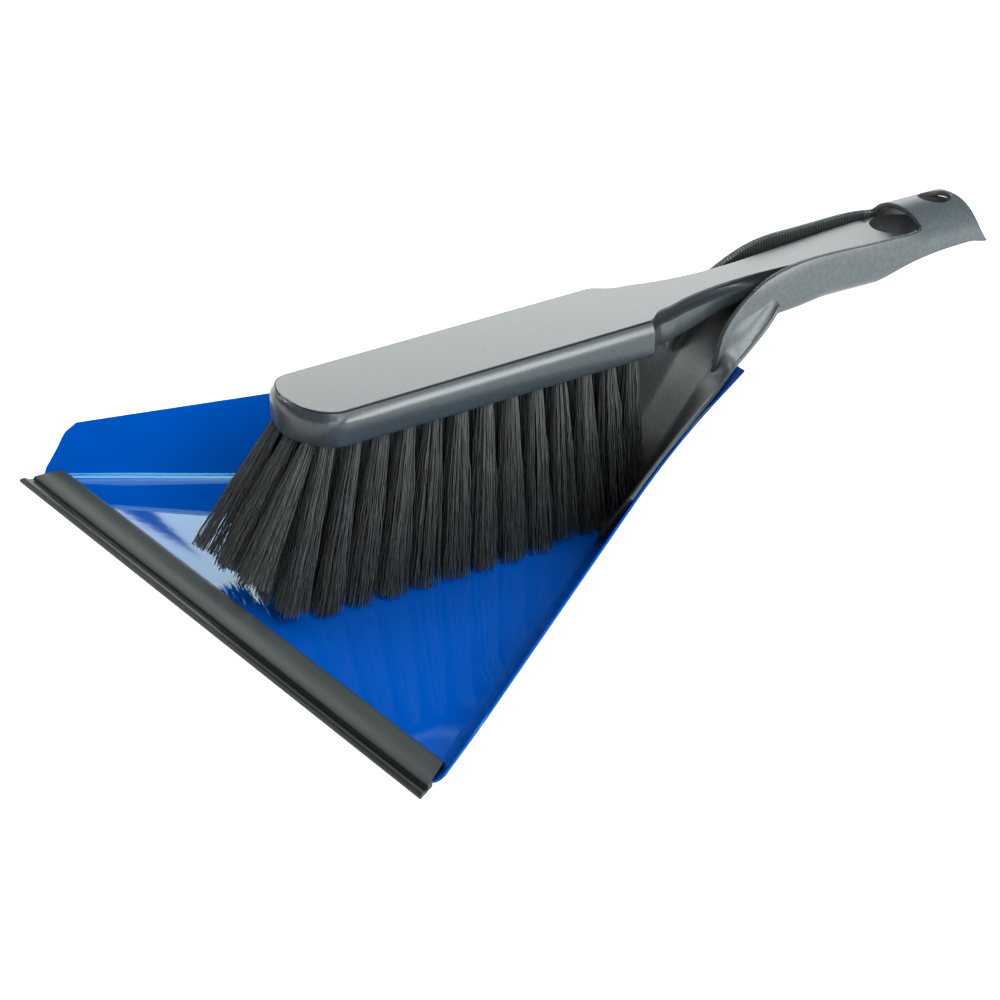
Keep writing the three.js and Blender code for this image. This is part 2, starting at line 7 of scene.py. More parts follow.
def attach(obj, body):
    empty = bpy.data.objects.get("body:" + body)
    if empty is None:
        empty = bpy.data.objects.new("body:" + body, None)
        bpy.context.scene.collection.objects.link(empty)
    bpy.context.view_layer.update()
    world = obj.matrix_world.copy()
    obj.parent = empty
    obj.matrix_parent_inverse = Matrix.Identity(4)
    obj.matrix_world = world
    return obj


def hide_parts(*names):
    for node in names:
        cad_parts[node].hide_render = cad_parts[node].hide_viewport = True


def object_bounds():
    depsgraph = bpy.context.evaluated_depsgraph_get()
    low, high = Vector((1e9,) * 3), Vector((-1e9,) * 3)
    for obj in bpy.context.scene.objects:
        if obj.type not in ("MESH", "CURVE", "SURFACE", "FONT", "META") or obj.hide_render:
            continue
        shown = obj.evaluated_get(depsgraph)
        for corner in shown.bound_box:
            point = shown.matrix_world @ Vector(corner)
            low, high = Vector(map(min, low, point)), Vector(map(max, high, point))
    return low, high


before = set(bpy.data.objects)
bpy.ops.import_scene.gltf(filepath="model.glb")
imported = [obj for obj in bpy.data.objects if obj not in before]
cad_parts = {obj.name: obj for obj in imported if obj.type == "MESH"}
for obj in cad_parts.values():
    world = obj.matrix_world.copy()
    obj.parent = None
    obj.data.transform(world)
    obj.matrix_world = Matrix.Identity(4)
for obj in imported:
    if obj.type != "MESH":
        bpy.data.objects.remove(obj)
cadLow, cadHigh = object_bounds()
mm = 0.001
halfLength = (cadHigh.y - cadLow.y) / 2 / mm  # the frame's middle lies half a set behind the lip
scene = bpy.context.scene
print("frame loaded, pieces:", len(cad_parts))


# small helpers: lengths are in millimetres, y runs from the lip's front edge towards the handle

def spot(x, y, z):
    return Vector((x, y - halfLength, z)) * mm


def mix(a, b, t):
    return a + (b - a) * t


def clamp01(t):
    return min(1, max(0, t))


def ease(t):
    t = clamp01(t)
    return t * t * (3 - 2 * t)


def steps(a, b, n):
    return [mix(a, b, i / n) for i in range(n + 1)]


def joinSteps(*runs):
    line = list(runs[0])
    for run in runs[1:]:
        line += run[1:]
    return line


def curveThrough(*knots):
    # a soft curve through (station, value) knots, level at both ends
    def value(y):
        if y <= knots[0][0]:
            return knots[0][1]
        for (y0, v0), (y1, v1) in zip(knots, knots[1:]):
            if y <= y1:
                return mix(v0, v1, ease((y - y0) / (y1 - y0)))
        return knots[-1][1]
    return value


def softCurve(*knots):
    # a curve through knots with no waves between them and a free slope at both ends
    count = len(knots)
    gaps = [knots[k + 1][0] - knots[k][0] for k in range(count - 1)]
    slopes = [(knots[k + 1][1] - knots[k][1]) / gaps[k] for k in range(count - 1)]
    lean = [slopes[0]]
    for a, b in zip(slopes, slopes[1:]):
        lean.append(2 * a * b / (a + b) if a * b > 0 else 0)
    lean.append(slopes[-1])

    def value(y):
        if y <= knots[0][0]:
            return knots[0][1]
        for k in range(count - 1):
            if y <= knots[k + 1][0]:
                t = (y - knots[k][0]) / gaps[k]
                a, b = knots[k][1], knots[k + 1][1]
                return (a * (1 + 2 * t) * (1 - t) ** 2 + gaps[k] * lean[k] * t * (1 - t) ** 2
                        + b * t * t * (3 - 2 * t) + gaps[k] * lean[k + 1] * t * t * (t - 1))
        return knots[-1][1]
    return value


def added(tool, **settings):
    # a new primitive, with nothing else selected
    bpy.ops.object.select_all(action="DESELECT")
    tool(**settings)
    return bpy.context.active_object


def pick(*objs):
    bpy.ops.object.select_all(action="DESELECT")
    for obj in objs:
        obj.select_set(True)
    bpy.context.view_layer.objects.active = objs[0]


def edit(obj):
    pick(obj)
    bpy.ops.object.mode_set(mode="EDIT")
    bpy.ops.mesh.select_all(action="SELECT")


def leaveEdit(turnOut=False):
    if turnOut:
        bpy.ops.mesh.select_all(action="SELECT")
        bpy.ops.mesh.normals_make_consistent(inside=False)
    bpy.ops.object.mode_set(mode="OBJECT")


def modify(obj, kind, **settings):
    pick(obj)
    modifier = obj.modifiers.new(kind.lower(), kind)
    for key, value in settings.items():
        setattr(modifier, key, value)
    bpy.ops.object.modifier_apply(modifier=modifier.name)


def roundEdges(obj, size, segments, clamped=False):
    modify(obj, "BEVEL", width=size * mm, segments=segments, limit_method="ANGLE",
           angle_limit=math.radians(60), use_clamp_overlap=clamped)


def combine(obj, other, operation):
    modify(obj, "BOOLEAN", object=other, operation=operation, solver="MANIFOLD")
    bpy.data.objects.remove(other)


def laidGrid(name, columns, rows, place, capped=False):
    # a flat grid with its points laid onto a surface
    obj = added(bpy.ops.mesh.primitive_grid_add, x_subdivisions=columns, y_subdivisions=rows, size=2)
    obj.name = name
    for v in obj.data.vertices:
        i = round((v.co.x + 1) / 2 * columns)
        j = round((v.co.y + 1) / 2 * rows)
        v.co = place(i, j)
    edit(obj)
    bpy.ops.mesh.remove_doubles(threshold=0.00001)
    if capped:
        bpy.ops.mesh.select_all(action="DESELECT")
        bpy.ops.mesh.select_non_manifold()
        bpy.ops.mesh.fill_holes(sides=0)
    leaveEdit(turnOut=True)
    return obj


def finishPiece(obj, body, nodes, material, angle=35):
    pick(obj)
    bpy.ops.object.transform_apply(location=True, rotation=True, scale=True)
    bpy.ops.object.shade_smooth_by_angle(angle=math.radians(angle))
    obj.data.materials.clear()
    obj.data.materials.append(material)
    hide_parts(*nodes)
    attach(obj, body)


cameraSetup = {
    "place": (639.6, -338.0, 395.5),
    "azimuth": 54.951,
    "elevation": 26.298,
    "roll": -0.286,
    "lens": 98.26,
}


def makeCamera():
    a, e, r = (math.radians(cameraSetup[key]) for key in ("azimuth", "elevation", "roll"))
    back = Vector((math.sin(a) * math.cos(e), -math.cos(a) * math.cos(e), math.sin(e)))
    side = Vector((math.cos(a), math.sin(a), 0))
    up = back.cross(side)
    right = math.cos(r) * side + math.sin(r) * up
    top = -math.sin(r) * side + math.cos(r) * up
    data = bpy.data.cameras.new("camera")
    data.lens = cameraSetup["lens"]
    data.sensor_width = 36
    data.clip_start = 0.05
    data.clip_end = 20
    camera = bpy.data.objects.new("camera", data)
    scene.collection.objects.link(camera)
    turn = Matrix((right, top, back)).transposed()
    camera.matrix_world = Matrix.Translation(spot(*cameraSetup["place"])) @ turn.to_4x4()
    scene.camera = camera


makeCamera()


def emptyTree(owner):
    owner.use_nodes = True
    owner.node_tree.nodes.clear()
    return owner.node_tree


def addNode(tree, kind, settings=None, links=None):
    # settings go to inputs, by name or number, or to the node itself; links are input: (node, output)
    node = tree.nodes.new(kind)
    for key, value in (settings or {}).items():
        if isinstance(key, int) or key in node.inputs:
            node.inputs[key].default_value = value
        else:
            setattr(node, key, value)
    for key, (source, output) in (links or {}).items():
        tree.links.new(source.outputs[output], node.inputs[key])
    return node


def hexToLinear(code):
    values = [int(code[i:i + 2], 16) / 255 for i in (1, 3, 5)]
    return tuple(v / 12.92 if v <= 0.04045 else ((v + 0.055) / 1.055) ** 2.4 for v in values) + (1,)


lightSetup = {
    "horizon": 1.0,  # white walls round the table
    "ceiling": 0.03,  # dark ceiling, so that the enamel keeps its colour
    "front": 0.12,  # dark room behind the camera
    "tint": (0.97, 1.0, 1.0),
    "softboxes": [
        # name, place, aimed at, width, height, power
        ("softbox overhead", (-493, 100, 1350), (-493, 101, 0), 524, 450, 7.2),
        ("small softbox over the lip", (-35, -240, 1350), (-35, -239, 0), 230, 210, 1.5),
        ("softbox behind at the left", (-1088, 853, 509), (12, 223, -51), 710, 500, 4.75),
        ("key softbox at the right", (920, 170, 940), (0, 100, 40), 900, 700, 22),
        ("low softbox behind at the right", (1150, 720, 190), (0, 120, 50), 520, 280, 8),
        ("small softbox in front at the left", (-907, -350, 630), (5, 120, 30), 420, 320, 3.2),
        ("low strip at the left", (-1300, 330, 190), (0, 120, 50), 700, 360, 5),
        ("fill in front at the right", (900, -500, 300), (0, 120, 20), 700, 500, 6),
    ],
    # black flag before the softbox at the left: corners right and up of the softbox's middle
    "flag": [(238, 157), (335, 55), (370, 70), (279, 130)],
    # black card on the table before the lip: half width, near and far edge
    "card": (420, -0.5, -60),
}


def makeLights():
    world = bpy.data.worlds.new("white studio")
    scene.world = world
    tree = emptyTree(world)
    ray = addNode(tree, "ShaderNodeTexCoord")
    axes = addNode(tree, "ShaderNodeSeparateXYZ", links={"Vector": (ray, "Generated")})
    level = addNode(tree, "ShaderNodeMapRange", {
        "From Min": 0.15, "From Max": 0.4, "To Min": lightSetup["horizon"], "To Max": lightSetup["ceiling"],
    }, {"Value": (axes, "Z")})
    depth = addNode(tree, "ShaderNodeMapRange", {
        "From Min": -0.35, "From Max": 0.15, "To Min": lightSetup["front"], "To Max": 1.0,
    }, {"Value": (axes, "Y")})
    strength = addNode(tree, "ShaderNodeMath", {"operation": "MULTIPLY"},
                       {0: (level, "Result"), 1: (depth, "Result")})
    room = addNode(tree, "ShaderNodeBackground", {"Color": (*lightSetup["tint"], 1)},
                   {"Strength": (strength, "Value")})
    rays = addNode(tree, "ShaderNodeLightPath")
    seen = addNode(tree, "ShaderNodeMath", {"operation": "MAXIMUM"},
                   {0: (rays, "Is Camera Ray"), 1: (rays, "Is Transmission Ray")})
    white = addNode(tree, "ShaderNodeBackground", {"Color": (1, 1, 1, 1), "Strength": 1.0})
    both = addNode(tree, "ShaderNodeMixShader", links={"Fac": (seen, "Value"), 1: (room, 0), 2: (white, 0)})
    addNode(tree, "ShaderNodeOutputWorld", links={"Surface": (both, "Shader")})
    for name, place, aim, width, height, power in lightSetup["softboxes"]:
        data = bpy.data.lights.new(name, "AREA")
        data.shape = "RECTANGLE"
        data.size = width * mm
        data.size_y = height * mm
        data.energy = power
        data.color = lightSetup["tint"]
        lamp = bpy.data.objects.new(name, data)
        scene.collection.objects.link(lamp)
        lamp.location = spot(*place)
        lamp.rotation_mode = "QUATERNION"
        lamp.rotation_quaternion = (spot(*aim) - spot(*place)).to_track_quat("-Z", "Y")
        if name == "softbox behind at the left":
            hangFlag(spot(*place), lamp.rotation_quaternion)


def hangCloth(name, corners):
    # a black sheet that the camera doesn't see
    cloth = bpy.data.materials.new("black flag cloth")
    tree = emptyTree(cloth)
    black = addNode(tree, "ShaderNodeBsdfDiffuse", {"Color": (0.01, 0.01, 0.01, 1)})
    addNode(tree, "ShaderNodeOutputMaterial", links={"Surface": (black, "BSDF")})
    sheet = added(bpy.ops.mesh.primitive_plane_add, size=1)
    sheet.name = name
    for index, corner in zip([0, 1, 3, 2], corners):
        sheet.data.vertices[index].co = corner
    sheet.data.materials.append(cloth)
    sheet.visible_camera = False
    return sheet


def hangFlag(place, turn):
    # its corners lie in the softbox's own plane, 4 mm in front of it
    corners = [Vector((right * mm, up * mm, -0.004)) for right, up in lightSetup["flag"]]
    hangCloth("flag", [place + turn @ corner for corner in corners])


def layCard():
    x, near, far = lightSetup["card"]
    card = hangCloth("card", [spot(*corner, 0.2) for corner in ((-x, near), (x, near), (x, far), (-x, far))])
    card.visible_shadow = False


makeLights()
layCard()


floorSetup = {
    "size": 8,  # metres
    "drop": 0.0002,
    "paper": 0.72,
    "glow": 0.66,  # what the camera and reflections see on top of the lit paper
}


def makeFloor():
    floor = added(bpy.ops.mesh.primitive_plane_add, size=floorSetup["size"], location=(0, 0, -floorSetup["drop"]))
    floor.name = "floor"
    material = bpy.data.materials.new("white paper sweep")
    tree = emptyTree(material)
    paper = addNode(tree, "ShaderNodeBsdfDiffuse", {"Color": (*[floorSetup["paper"]] * 3, 1)})
    glow = addNode(tree, "ShaderNodeEmission", {"Color": (1, 1, 1, 1), "Strength": floorSetup["glow"]})
    none = addNode(tree, "ShaderNodeEmission", {"Color": (0, 0, 0, 1), "Strength": 0})
    rays = addNode(tree, "ShaderNodeLightPath")
    either = addNode(tree, "ShaderNodeMath", {"operation": "MAXIMUM"},
                     {0: (rays, "Is Camera Ray"), 1: (rays, "Is Glossy Ray")})
    seen = addNode(tree, "ShaderNodeMixShader", links={"Fac": (either, "Value"), 1: (none, 0), 2: (glow, 0)})
    total = addNode(tree, "ShaderNodeAddShader", links={0: (paper, 0), 1: (seen, 0)})
    addNode(tree, "ShaderNodeOutputMaterial", links={"Surface": (total, "Shader")})
    floor.data.materials.append(material)


makeFloor()
scene.view_settings.view_transform = "Standard"
print("camera, lights and floor ready")


def newMaterial(name, settings):
    # settings are the shader's own values; where is the object's own coordinates
    material = bpy.data.materials.new(name)
    tree = emptyTree(material)
    shader = addNode(tree, "ShaderNodeBsdfPrincipled", settings)
    addNode(tree, "ShaderNodeOutputMaterial", links={"Surface": (shader, "BSDF")})
    where = (addNode(tree, "ShaderNodeTexCoord"), "Object")
    return material, tree, shader, where


def twoTones(tree, where, size, detail, tones, edge=(0, 1)):
    # a colour that wanders between two tones, in spots this many millimetres across
    dark, light = tones
    spots = addNode(tree, "ShaderNodeTexNoise", {"Scale": 1 / (size * mm), "Detail": detail}, {"Vector": where})
    share = addNode(tree, "ShaderNodeMapRange", {"From Min": edge[0], "From Max": edge[1]}, {"Value": (spots, "Fac")})
    return addNode(tree, "ShaderNodeMix", {"data_type": "RGBA", 6: hexToLinear(dark), 7: hexToLinear(light)},
                   {"Factor": (share, "Result")})


def darkened(tree, tone, source, low, high, colour):
    # the tone, turned to another colour as the source falls from high to low; the script uses it for painted shade
    share = addNode(tree, "ShaderNodeMapRange", {"From Min": low, "From Max": high}, {"Value": source})
    return addNode(tree, "ShaderNodeMix", {"data_type": "RGBA", 6: hexToLinear(colour)},
                   {"Factor": (share, "Result"), 7: (tone, 2)})


def raiseGrain(tree, shader, where, size, detail, strength, height):
    # bumps this many millimetres across and high
    spots = addNode(tree, "ShaderNodeTexNoise", {"Scale": 1 / (size * mm), "Detail": detail}, {"Vector": where})
    bump = addNode(tree, "ShaderNodeBump", {"Strength": strength, "Distance": height * mm},
                   {"Height": (spots, "Fac")})
    tree.links.new(bump.outputs["Normal"], shader.inputs["Normal"])


enamelFinish = {
    "tones": ("#00449b", "#0049a4"),
    "cloud": 40,
    "paintedBackShade": "#00215a",  # painted shade towards the back of the tray
    "paintedShadeFrom": -0.04,  # metres along the set
    "paintedShadeTo": 0.045,
    "peel": 2.2,
    "peelStrength": 0.01,
    "roughness": 0.03,
    "highlight": "#95ede1",
}


def blueEnamel():
    # stoved enamel on sheet steel: glassy, with a faint orange peel about 2 mm across
    look = enamelFinish
    material, tree, shader, where = newMaterial("stoved blue enamel on sheet steel", {
        "Roughness": look["roughness"], "IOR": 1.5, "Specular Tint": hexToLinear(look["highlight"]),
    })
    tone = twoTones(tree, where, look["cloud"], 2, look["tones"])
    # painted shade: the blue turns darker towards the back of the tray
    axes = addNode(tree, "ShaderNodeSeparateXYZ", links={"Vector": where})
    depth = addNode(tree, "ShaderNodeMapRange", {"From Min": look["paintedShadeFrom"], "From Max": look["paintedShadeTo"]},
                    {"Value": (axes, "Y")})
    backShaded = addNode(tree, "ShaderNodeMix", {"data_type": "RGBA", 7: hexToLinear(look["paintedBackShade"])},
                     {"Factor": (depth, "Result"), 6: (tone, 2)})
    tree.links.new(backShaded.outputs[2], shader.inputs["Base Color"])
    raiseGrain(tree, shader, where, look["peel"], 1, look["peelStrength"], 0.2)
    return material


rubberFinish = {
    "tones": ("#2b3030", "#373d3d"),
    "cloud": 70,
    "paintedRubberShade": "#0a0d0d",
    "shadedBlade": (0.00118, 0.0013),  # painted shade on the front blade ends between these heights, in metres
    "drawLine": 1.1,
    "roughness": 0.4,
    "shine": 0.22,
}


def greyRubber():
    # extruded thermoplastic rubber: dull, drawn along its length, with painted shade in its groove and on its front
    # blade
    look = rubberFinish
    material, tree, shader, where = newMaterial("extruded grey rubber", {
        "Roughness": look["roughness"], "IOR": 1.52, "Specular IOR Level": look["shine"],
    })
    tone = twoTones(tree, where, look["cloud"], 3, look["tones"])
    # painted shade, near black, in the groove's hollow and on the front blade
    hollow = addNode(tree, "ShaderNodeAmbientOcclusion", {"samples": 8, "Distance": 0.005})
    groove = darkened(tree, tone, (hollow, "AO"), 0.6, 0.95, look["paintedRubberShade"])
    axes = addNode(tree, "ShaderNodeSeparateXYZ", links={"Vector": where})
    shadedBlade = darkened(tree, groove, (axes, "Z"), *look["shadedBlade"], look["paintedRubberShade"])
    tree.links.new(shadedBlade.outputs[2], shader.inputs["Base Color"])
    drawn = addNode(tree, "ShaderNodeMapping", {"Scale": (0.05, 1.0, 1.0)}, {"Vector": where})
    raiseGrain(tree, shader, (drawn, "Vector"), look["drawLine"], 3, 0.25, 0.2)
    return material


handleFinish = {"tones": ("#3c4346", "#474e51"), "roughness": 0.36, "grain": 0.35, "shine": 0.5}
brushFinish = {"tones": ("#2a3135", "#32393d"), "roughness": 0.28, "grain": 0.04, "shine": 0.52}
plasticGrainAndShade = {
    "speckle": 1.1,
    "spark": 0.4,  # mould grain, drawn coarser than the real 0.1 mm so that it shows
    # painted shade for hollows and corners
    "corner": "#0a0d0e",
    "hollow": 0.035,  # metres that the painted shade in a hollow reaches
    "dull": 0.95,  # roughness in the hollows
}


def blackPlastic(name, look):
    # injection moulded polypropylene: the spark-eroded mould leaves a fine grain,
    # handling polishes what is open to touch and leaves hollows dull; their near-black colour is painted shade
    material, tree, shader, where = newMaterial(name, {"IOR": 1.5, "Specular IOR Level": look["shine"]})
    tone = twoTones(tree, where, plasticGrainAndShade["speckle"], 2, look["tones"], (0.35, 0.65))
    # painted shade: the hollows turn near black
    hollow = addNode(tree, "ShaderNodeAmbientOcclusion", {"samples": 8, "Distance": plasticGrainAndShade["hollow"]})
    hollowShaded = darkened(tree, tone, (hollow, "AO"), 0.4, 0.85, plasticGrainAndShade["corner"])
    tree.links.new(hollowShaded.outputs[2], shader.inputs["Base Color"])
    polish = addNode(tree, "ShaderNodeMapRange", {
        "From Min": 0.35, "From Max": 0.6, "To Min": plasticGrainAndShade["dull"], "To Max": look["roughness"],
    }, {"Value": (hollow, "AO")})
    tree.links.new(polish.outputs["Result"], shader.inputs["Roughness"])
    raiseGrain(tree, shader, where, plasticGrainAndShade["spark"], 2, look["grain"], 0.1)
    return material


bristleFinish = {
    "tones": ("#0f1314", "#434a4a"),
    "strand": 0.55,
    # painted shade between the tufts
    "gap": "#050707",
    "gapReach": 0.02,  # metres
    "roughness": 0.35,
}


def blackBristle():
    # drawn polyester filament: smooth dark strands that catch a long thin light, with painted shade, near black, in
    # the gaps between tufts
    look = bristleFinish
    material, tree, shader, where = newMaterial("drawn polyester bristle", {
        "Roughness": look["roughness"], "IOR": 1.55,
    })
    drawn = addNode(tree, "ShaderNodeMapping", {"Scale": (1.0, 1.0, 0.08)}, {"Vector": where})
    tone = twoTones(tree, (drawn, "Vector"), look["strand"], 1, look["tones"])
    # painted shade in the gaps between tufts
    gap = addNode(tree, "ShaderNodeAmbientOcclusion", {"samples": 4, "Distance": look["gapReach"]})
    shaded = darkened(tree, tone, (gap, "AO"), 0.18, 0.65, look["gap"])
    tree.links.new(shaded.outputs[2], shader.inputs["Base Color"])
    return material


enamel = blueEnamel()
rubber = greyRubber()
handlePlastic = blackPlastic("moulded polypropylene of the pan handle", handleFinish)
brushPlastic = blackPlastic("moulded polypropylene of the brush", brushFinish)
filament = blackBristle()
print("materials ready")


# the set's pieces, all sizes in millimetres
pan = {
    "halfWidth": 120,
    "depth": 194,
    "sheet": 0.8,
    "bend": 8,
    "foldInset": 7.3,
    "wallSpread": 0.755,
    "toeHeight": 2.3,  # where the wall rises out of the lip
    "cornerHeight": 14.1,  # lower corner of the wall's clipped front edge
    "cornerSetback": 4,
    "rimFrontHeight": 16.5,
    "rimSetback": 8.4,
    "rimRise": 0.1527,
    "rimEndHalfWidth": 20,
    "rimEndHeight": 40.5,
    "rampLength": 46,
    "rampHalfWidth": 15.4,
    "floorEndHalfWidth": 8,
    "skirtLength": 78,
    "skirt": 1.3,
    "skirtFloorInset": 17,  # the skirt's front edge lies this much further back on the floor
    "skirtWallInset": 2,
    "skirtDrop": 3.2,  # the skirt's edge below the rim at the back of the pan
    "skirtEndDrop": 0.5,
    "hookReach": 19,  # the skirt's edge runs on into the trough's side
    "hookHalfWidth": 15.7,
    "hookRise": 4.7,
    "lipDepth": 13.1,
    "lipHeight": 3.75,
    "lipNose": 6.3,
    "gap": 0.3,
    "edgeRound": 0.36,
}
brush = {
    "underside": 53.7,
    "block": 10.9,
    "blockLength": 125.3,
    "shoulder": 18.6,
    "top": 16.8,
    "noseLength": 11.5,
    "topRise": 0.0085,
    "shoulderDrop": 4.3,
    "neckLength": 45.5,
    "neck": 6.4,
    "neckThickness": 9.6,
    "flute": 2.2,
    "gripLength": 65,
    "grip": 10.6,
    "eyelet": 9.3,
    "eyeletRim": 2.1,
    "eyeletThickness": 8.6,
    "eyeletInset": 0.5,  # its centre before the hood
    "eyeletBlend": 8.5,
}
trough = {
    "lead": 6,
    "length": 89,
    "wall": 1.8,
    "sideDepth": 8.4,
    "neckRoom": 4.2,
    "narrowRoom": 0.7,
    "eyeletRoom": 1.8,
    "hoodEndRoom": 1.4,
    "narrowLead": 48,
    "wideLead": 15,
    "flare": 0.4,
    "tipDip": 3,  # the wall's front tip runs out to a point over this length
    "rimRise": 2.6,
    "rimSag": 0.9,
    "rimSweep": 43,
    "headroom": 4.9,
    "hoodSideDepth": 13.2,
    "hoodFootDepth": 14.8,
    "hoodLength": 23.6,
    "footReach": 5.4,
    "bottomEndLead": 21,
    "bottomSweep": 34,
    "holeRadius": 5.6,
    "holeInset": 7,
    "ribPitch": 1.2,
    "ribHeight": 0.35,
    "ribLead": 16,
    "ribEnd": 2,
    "webLead": 4,
    "webHollow": 0.9,
    "edgeRound": 0.35,
}

# stations that follow from the sizes
lipFront = pan["lipNose"] + pan["gap"]
rimFront = pan["lipDepth"] + pan["rimSetback"]
rampStart = pan["depth"] - pan["rampLength"]
skirtStart = pan["depth"] - pan["skirtLength"]
hookEnd = pan["depth"] + pan["hookReach"]
troughStart = pan["depth"] - trough["lead"]
hoodStart = troughStart + trough["length"]
hoodTopEnd = hoodStart + trough["hoodLength"]
holeCentre = hoodTopEnd - trough["holeInset"]
eyeletCentre = hoodStart - brush["eyeletInset"]
gripAt = eyeletCentre - brush["eyeletBlend"]
neckAt = gripAt - brush["gripLength"]
blockEnd = neckAt - brush["neckLength"]
brushFront = blockEnd - brush["blockLength"]
eyeletOuter = brush["eyelet"] + brush["eyeletRim"]


def brushTop(y):
    return brush["underside"] + brush["block"] + brush["topRise"] * (y - brushFront)


troughBottom = brush["underside"] - pan["gap"] - trough["wall"]
troughShoulder = troughBottom + trough["sideDepth"]
troughRim = brushTop(gripAt) + trough["rimRise"]
hoodHeight = brushTop(eyeletCentre) + trough["headroom"] + trough["wall"]
hoodSide = hoodHeight - trough["hoodSideDepth"]
hoodFoot = hoodHeight - trough["hoodFootDepth"]
hookHeight = troughBottom + pan["hookRise"]

floorTaper = (pan["halfWidth"] - pan["foldInset"] - pan["rampHalfWidth"]) / (rampStart - pan["lipDepth"])


def straightFold(y):
    return pan["halfWidth"] - pan["foldInset"] - floorTaper * (y - pan["lipDepth"])


def floorHalfWidth(y):
    if y <= rampStart:
        return straightFold(y)
    room = pan["rampHalfWidth"] - pan["floorEndHalfWidth"]
    return pan["floorEndHalfWidth"] + room * math.exp(-(y - rampStart) * floorTaper / room)


floorHeight = curveThrough((rampStart, pan["sheet"]), (hookEnd, troughBottom + pan["gap"]))


def straightRim(y):
    height = pan["rimFrontHeight"] + pan["rimRise"] * (y - rimFront)
    return straightFold(y) + pan["wallSpread"] * (height - pan["sheet"]), height


def rimPoint(y):
    x, z = straightRim(y)
    if y <= skirtStart:
        return x, z
    if y <= pan["depth"]:
        t = ((y - skirtStart) / pan["skirtLength"]) ** 2
        endX, endZ = straightRim(pan["depth"])
        return x + (pan["rimEndHalfWidth"] - endX) * t, z + (pan["rimEndHeight"] - endZ) * t
    t = (y - pan["depth"]) / pan["hookReach"]
    return (mix(pan["rimEndHalfWidth"], pan["hookHalfWidth"], t ** 1.4),
            mix(pan["rimEndHeight"], hookHeight, t ** 1.15))


skirtDrop = curveThrough((rampStart, pan["skirtEndDrop"]), (pan["depth"], pan["skirtDrop"]),
                         (hookEnd, pan["skirtEndDrop"]))
# points of a cross-section: parts of the floor's half width, steps round the bend, parts of the wall
floorShares = [0, 0.2, 0.4, 0.6, 0.8, 0.92]
wallShares = [0.12, 0.3, 0.5, 0.7, 0.825, 1]
foldSteps = 10
halfCount = len(floorShares) + foldSteps + len(wallShares)


def trayHalf(y, out, drop):
    # half a cross-section of the tray, middle first, moved outwards by out, its rim cut by drop
    floorX = floorHalfWidth(y)
    floorZ = floorHeight(y)
    rimX, rimZ = rimPoint(y)
    lean = math.atan2(rimZ - floorZ, rimX - floorX)
    tangent = pan["bend"] * math.tan(lean / 2)
    bend = [(floorX - tangent + (pan["bend"] + out) * math.sin(a),
             floorZ + pan["bend"] - (pan["bend"] + out) * math.cos(a)) for a in steps(0, lean, foldSteps)]
    end = (rimX + out * math.sin(lean) - drop * math.cos(lean),
           rimZ - out * math.cos(lean) - drop * math.sin(lean))
    flat = [(bend[0][0] * share, floorZ - out) for share in floorShares]
    wall = [(mix(bend[-1][0], end[0], s), mix(bend[-1][1], end[1], s)) for s in wallShares]
    return flat + bend + wall


def trayPoint(i, y, out, drop):
    # i runs from the left rim over the middle to the right rim
    x, z = trayHalf(y, out, drop)[abs(i - halfCount)]
    return (x if i >= halfCount else -x), z


# the wall's front edge: it rises out of the lip and its upper corner is clipped
wallFront = [(0.9, lipFront), (pan["toeHeight"], lipFront + 1.3),
             (pan["cornerHeight"], pan["lipDepth"] + pan["cornerSetback"]), (pan["rimFrontHeight"], rimFront)]


def wallFrontAt(z):
    if z <= wallFront[0][0]:
        return lipFront
    for (z0, y0), (z1, y1) in zip(wallFront, wallFront[1:]):
        if z <= z1:
            return mix(y0, y1, (z - z0) / (z1 - z0))
    return rimFront


def traySheet(name, rows, place):
    # a sheet right across the tray, its faces turned down and outwards
    sheet = laidGrid(name, 2 * halfCount, rows, place)
    if sheet.data.polygons[0].normal.z > 0:
        sheet.data.flip_normals()
    return sheet


backStations = joinSteps(steps(skirtStart, rampStart, 8), steps(rampStart, pan["depth"], 20))


def makePanSheet():
    # the front stations are shares of the way from the wall's own front edge, the others lie straight across
    front = joinSteps(steps(0, 0.2, 4), steps(0.2, 1, 12))
    stations = [(None, share) for share in front] + [(y, 0) for y in backStations[1:]]
    frontZ = [trayPoint(i, rimFront, 0, 0)[1] for i in range(2 * halfCount + 1)]

    def place(i, j):
        y, share = stations[j]
        if y is None:
            y = mix(wallFrontAt(frontZ[i]), skirtStart, share)
        x, z = trayPoint(i, y, 0, 0)
        return spot(x, y, z)

    sheet = traySheet("panSheet", len(stations) - 1, place)
    modify(sheet, "SOLIDIFY", thickness=pan["sheet"] * mm, offset=1, use_even_offset=True)
    roundEdges(sheet, pan["edgeRound"], 3)
    finishPiece(sheet, "pan", ["pan_sheet"], enamel, angle=30)


makePanSheet()
print("pan sheet made")


def makeLip():
    # a merged copy of the frame's lip, smooth over its bends
    lip = bpy.data.objects.new("rubberLip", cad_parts["rubber_lip"].data.copy())
    scene.collection.objects.link(lip)
    edit(lip)
    bpy.ops.mesh.remove_doubles(threshold=0.00001)
    bpy.ops.mesh.tris_convert_to_quads()
    leaveEdit()
    finishPiece(lip, "pan", ["rubber_lip"], rubber, angle=25)


makeLip()
print("rubber lip made")


def skirtFront(i):
    # the skirt's front edge lies further back on the floor than on the walls
    upWall = abs(i - halfCount) - len(floorShares) - foldSteps / 2
    onWall = clamp01(upWall / (len(wallShares) + foldSteps / 2 - 1))
    return skirtStart + mix(pan["skirtFloorInset"], pan["skirtWallInset"], onWall)


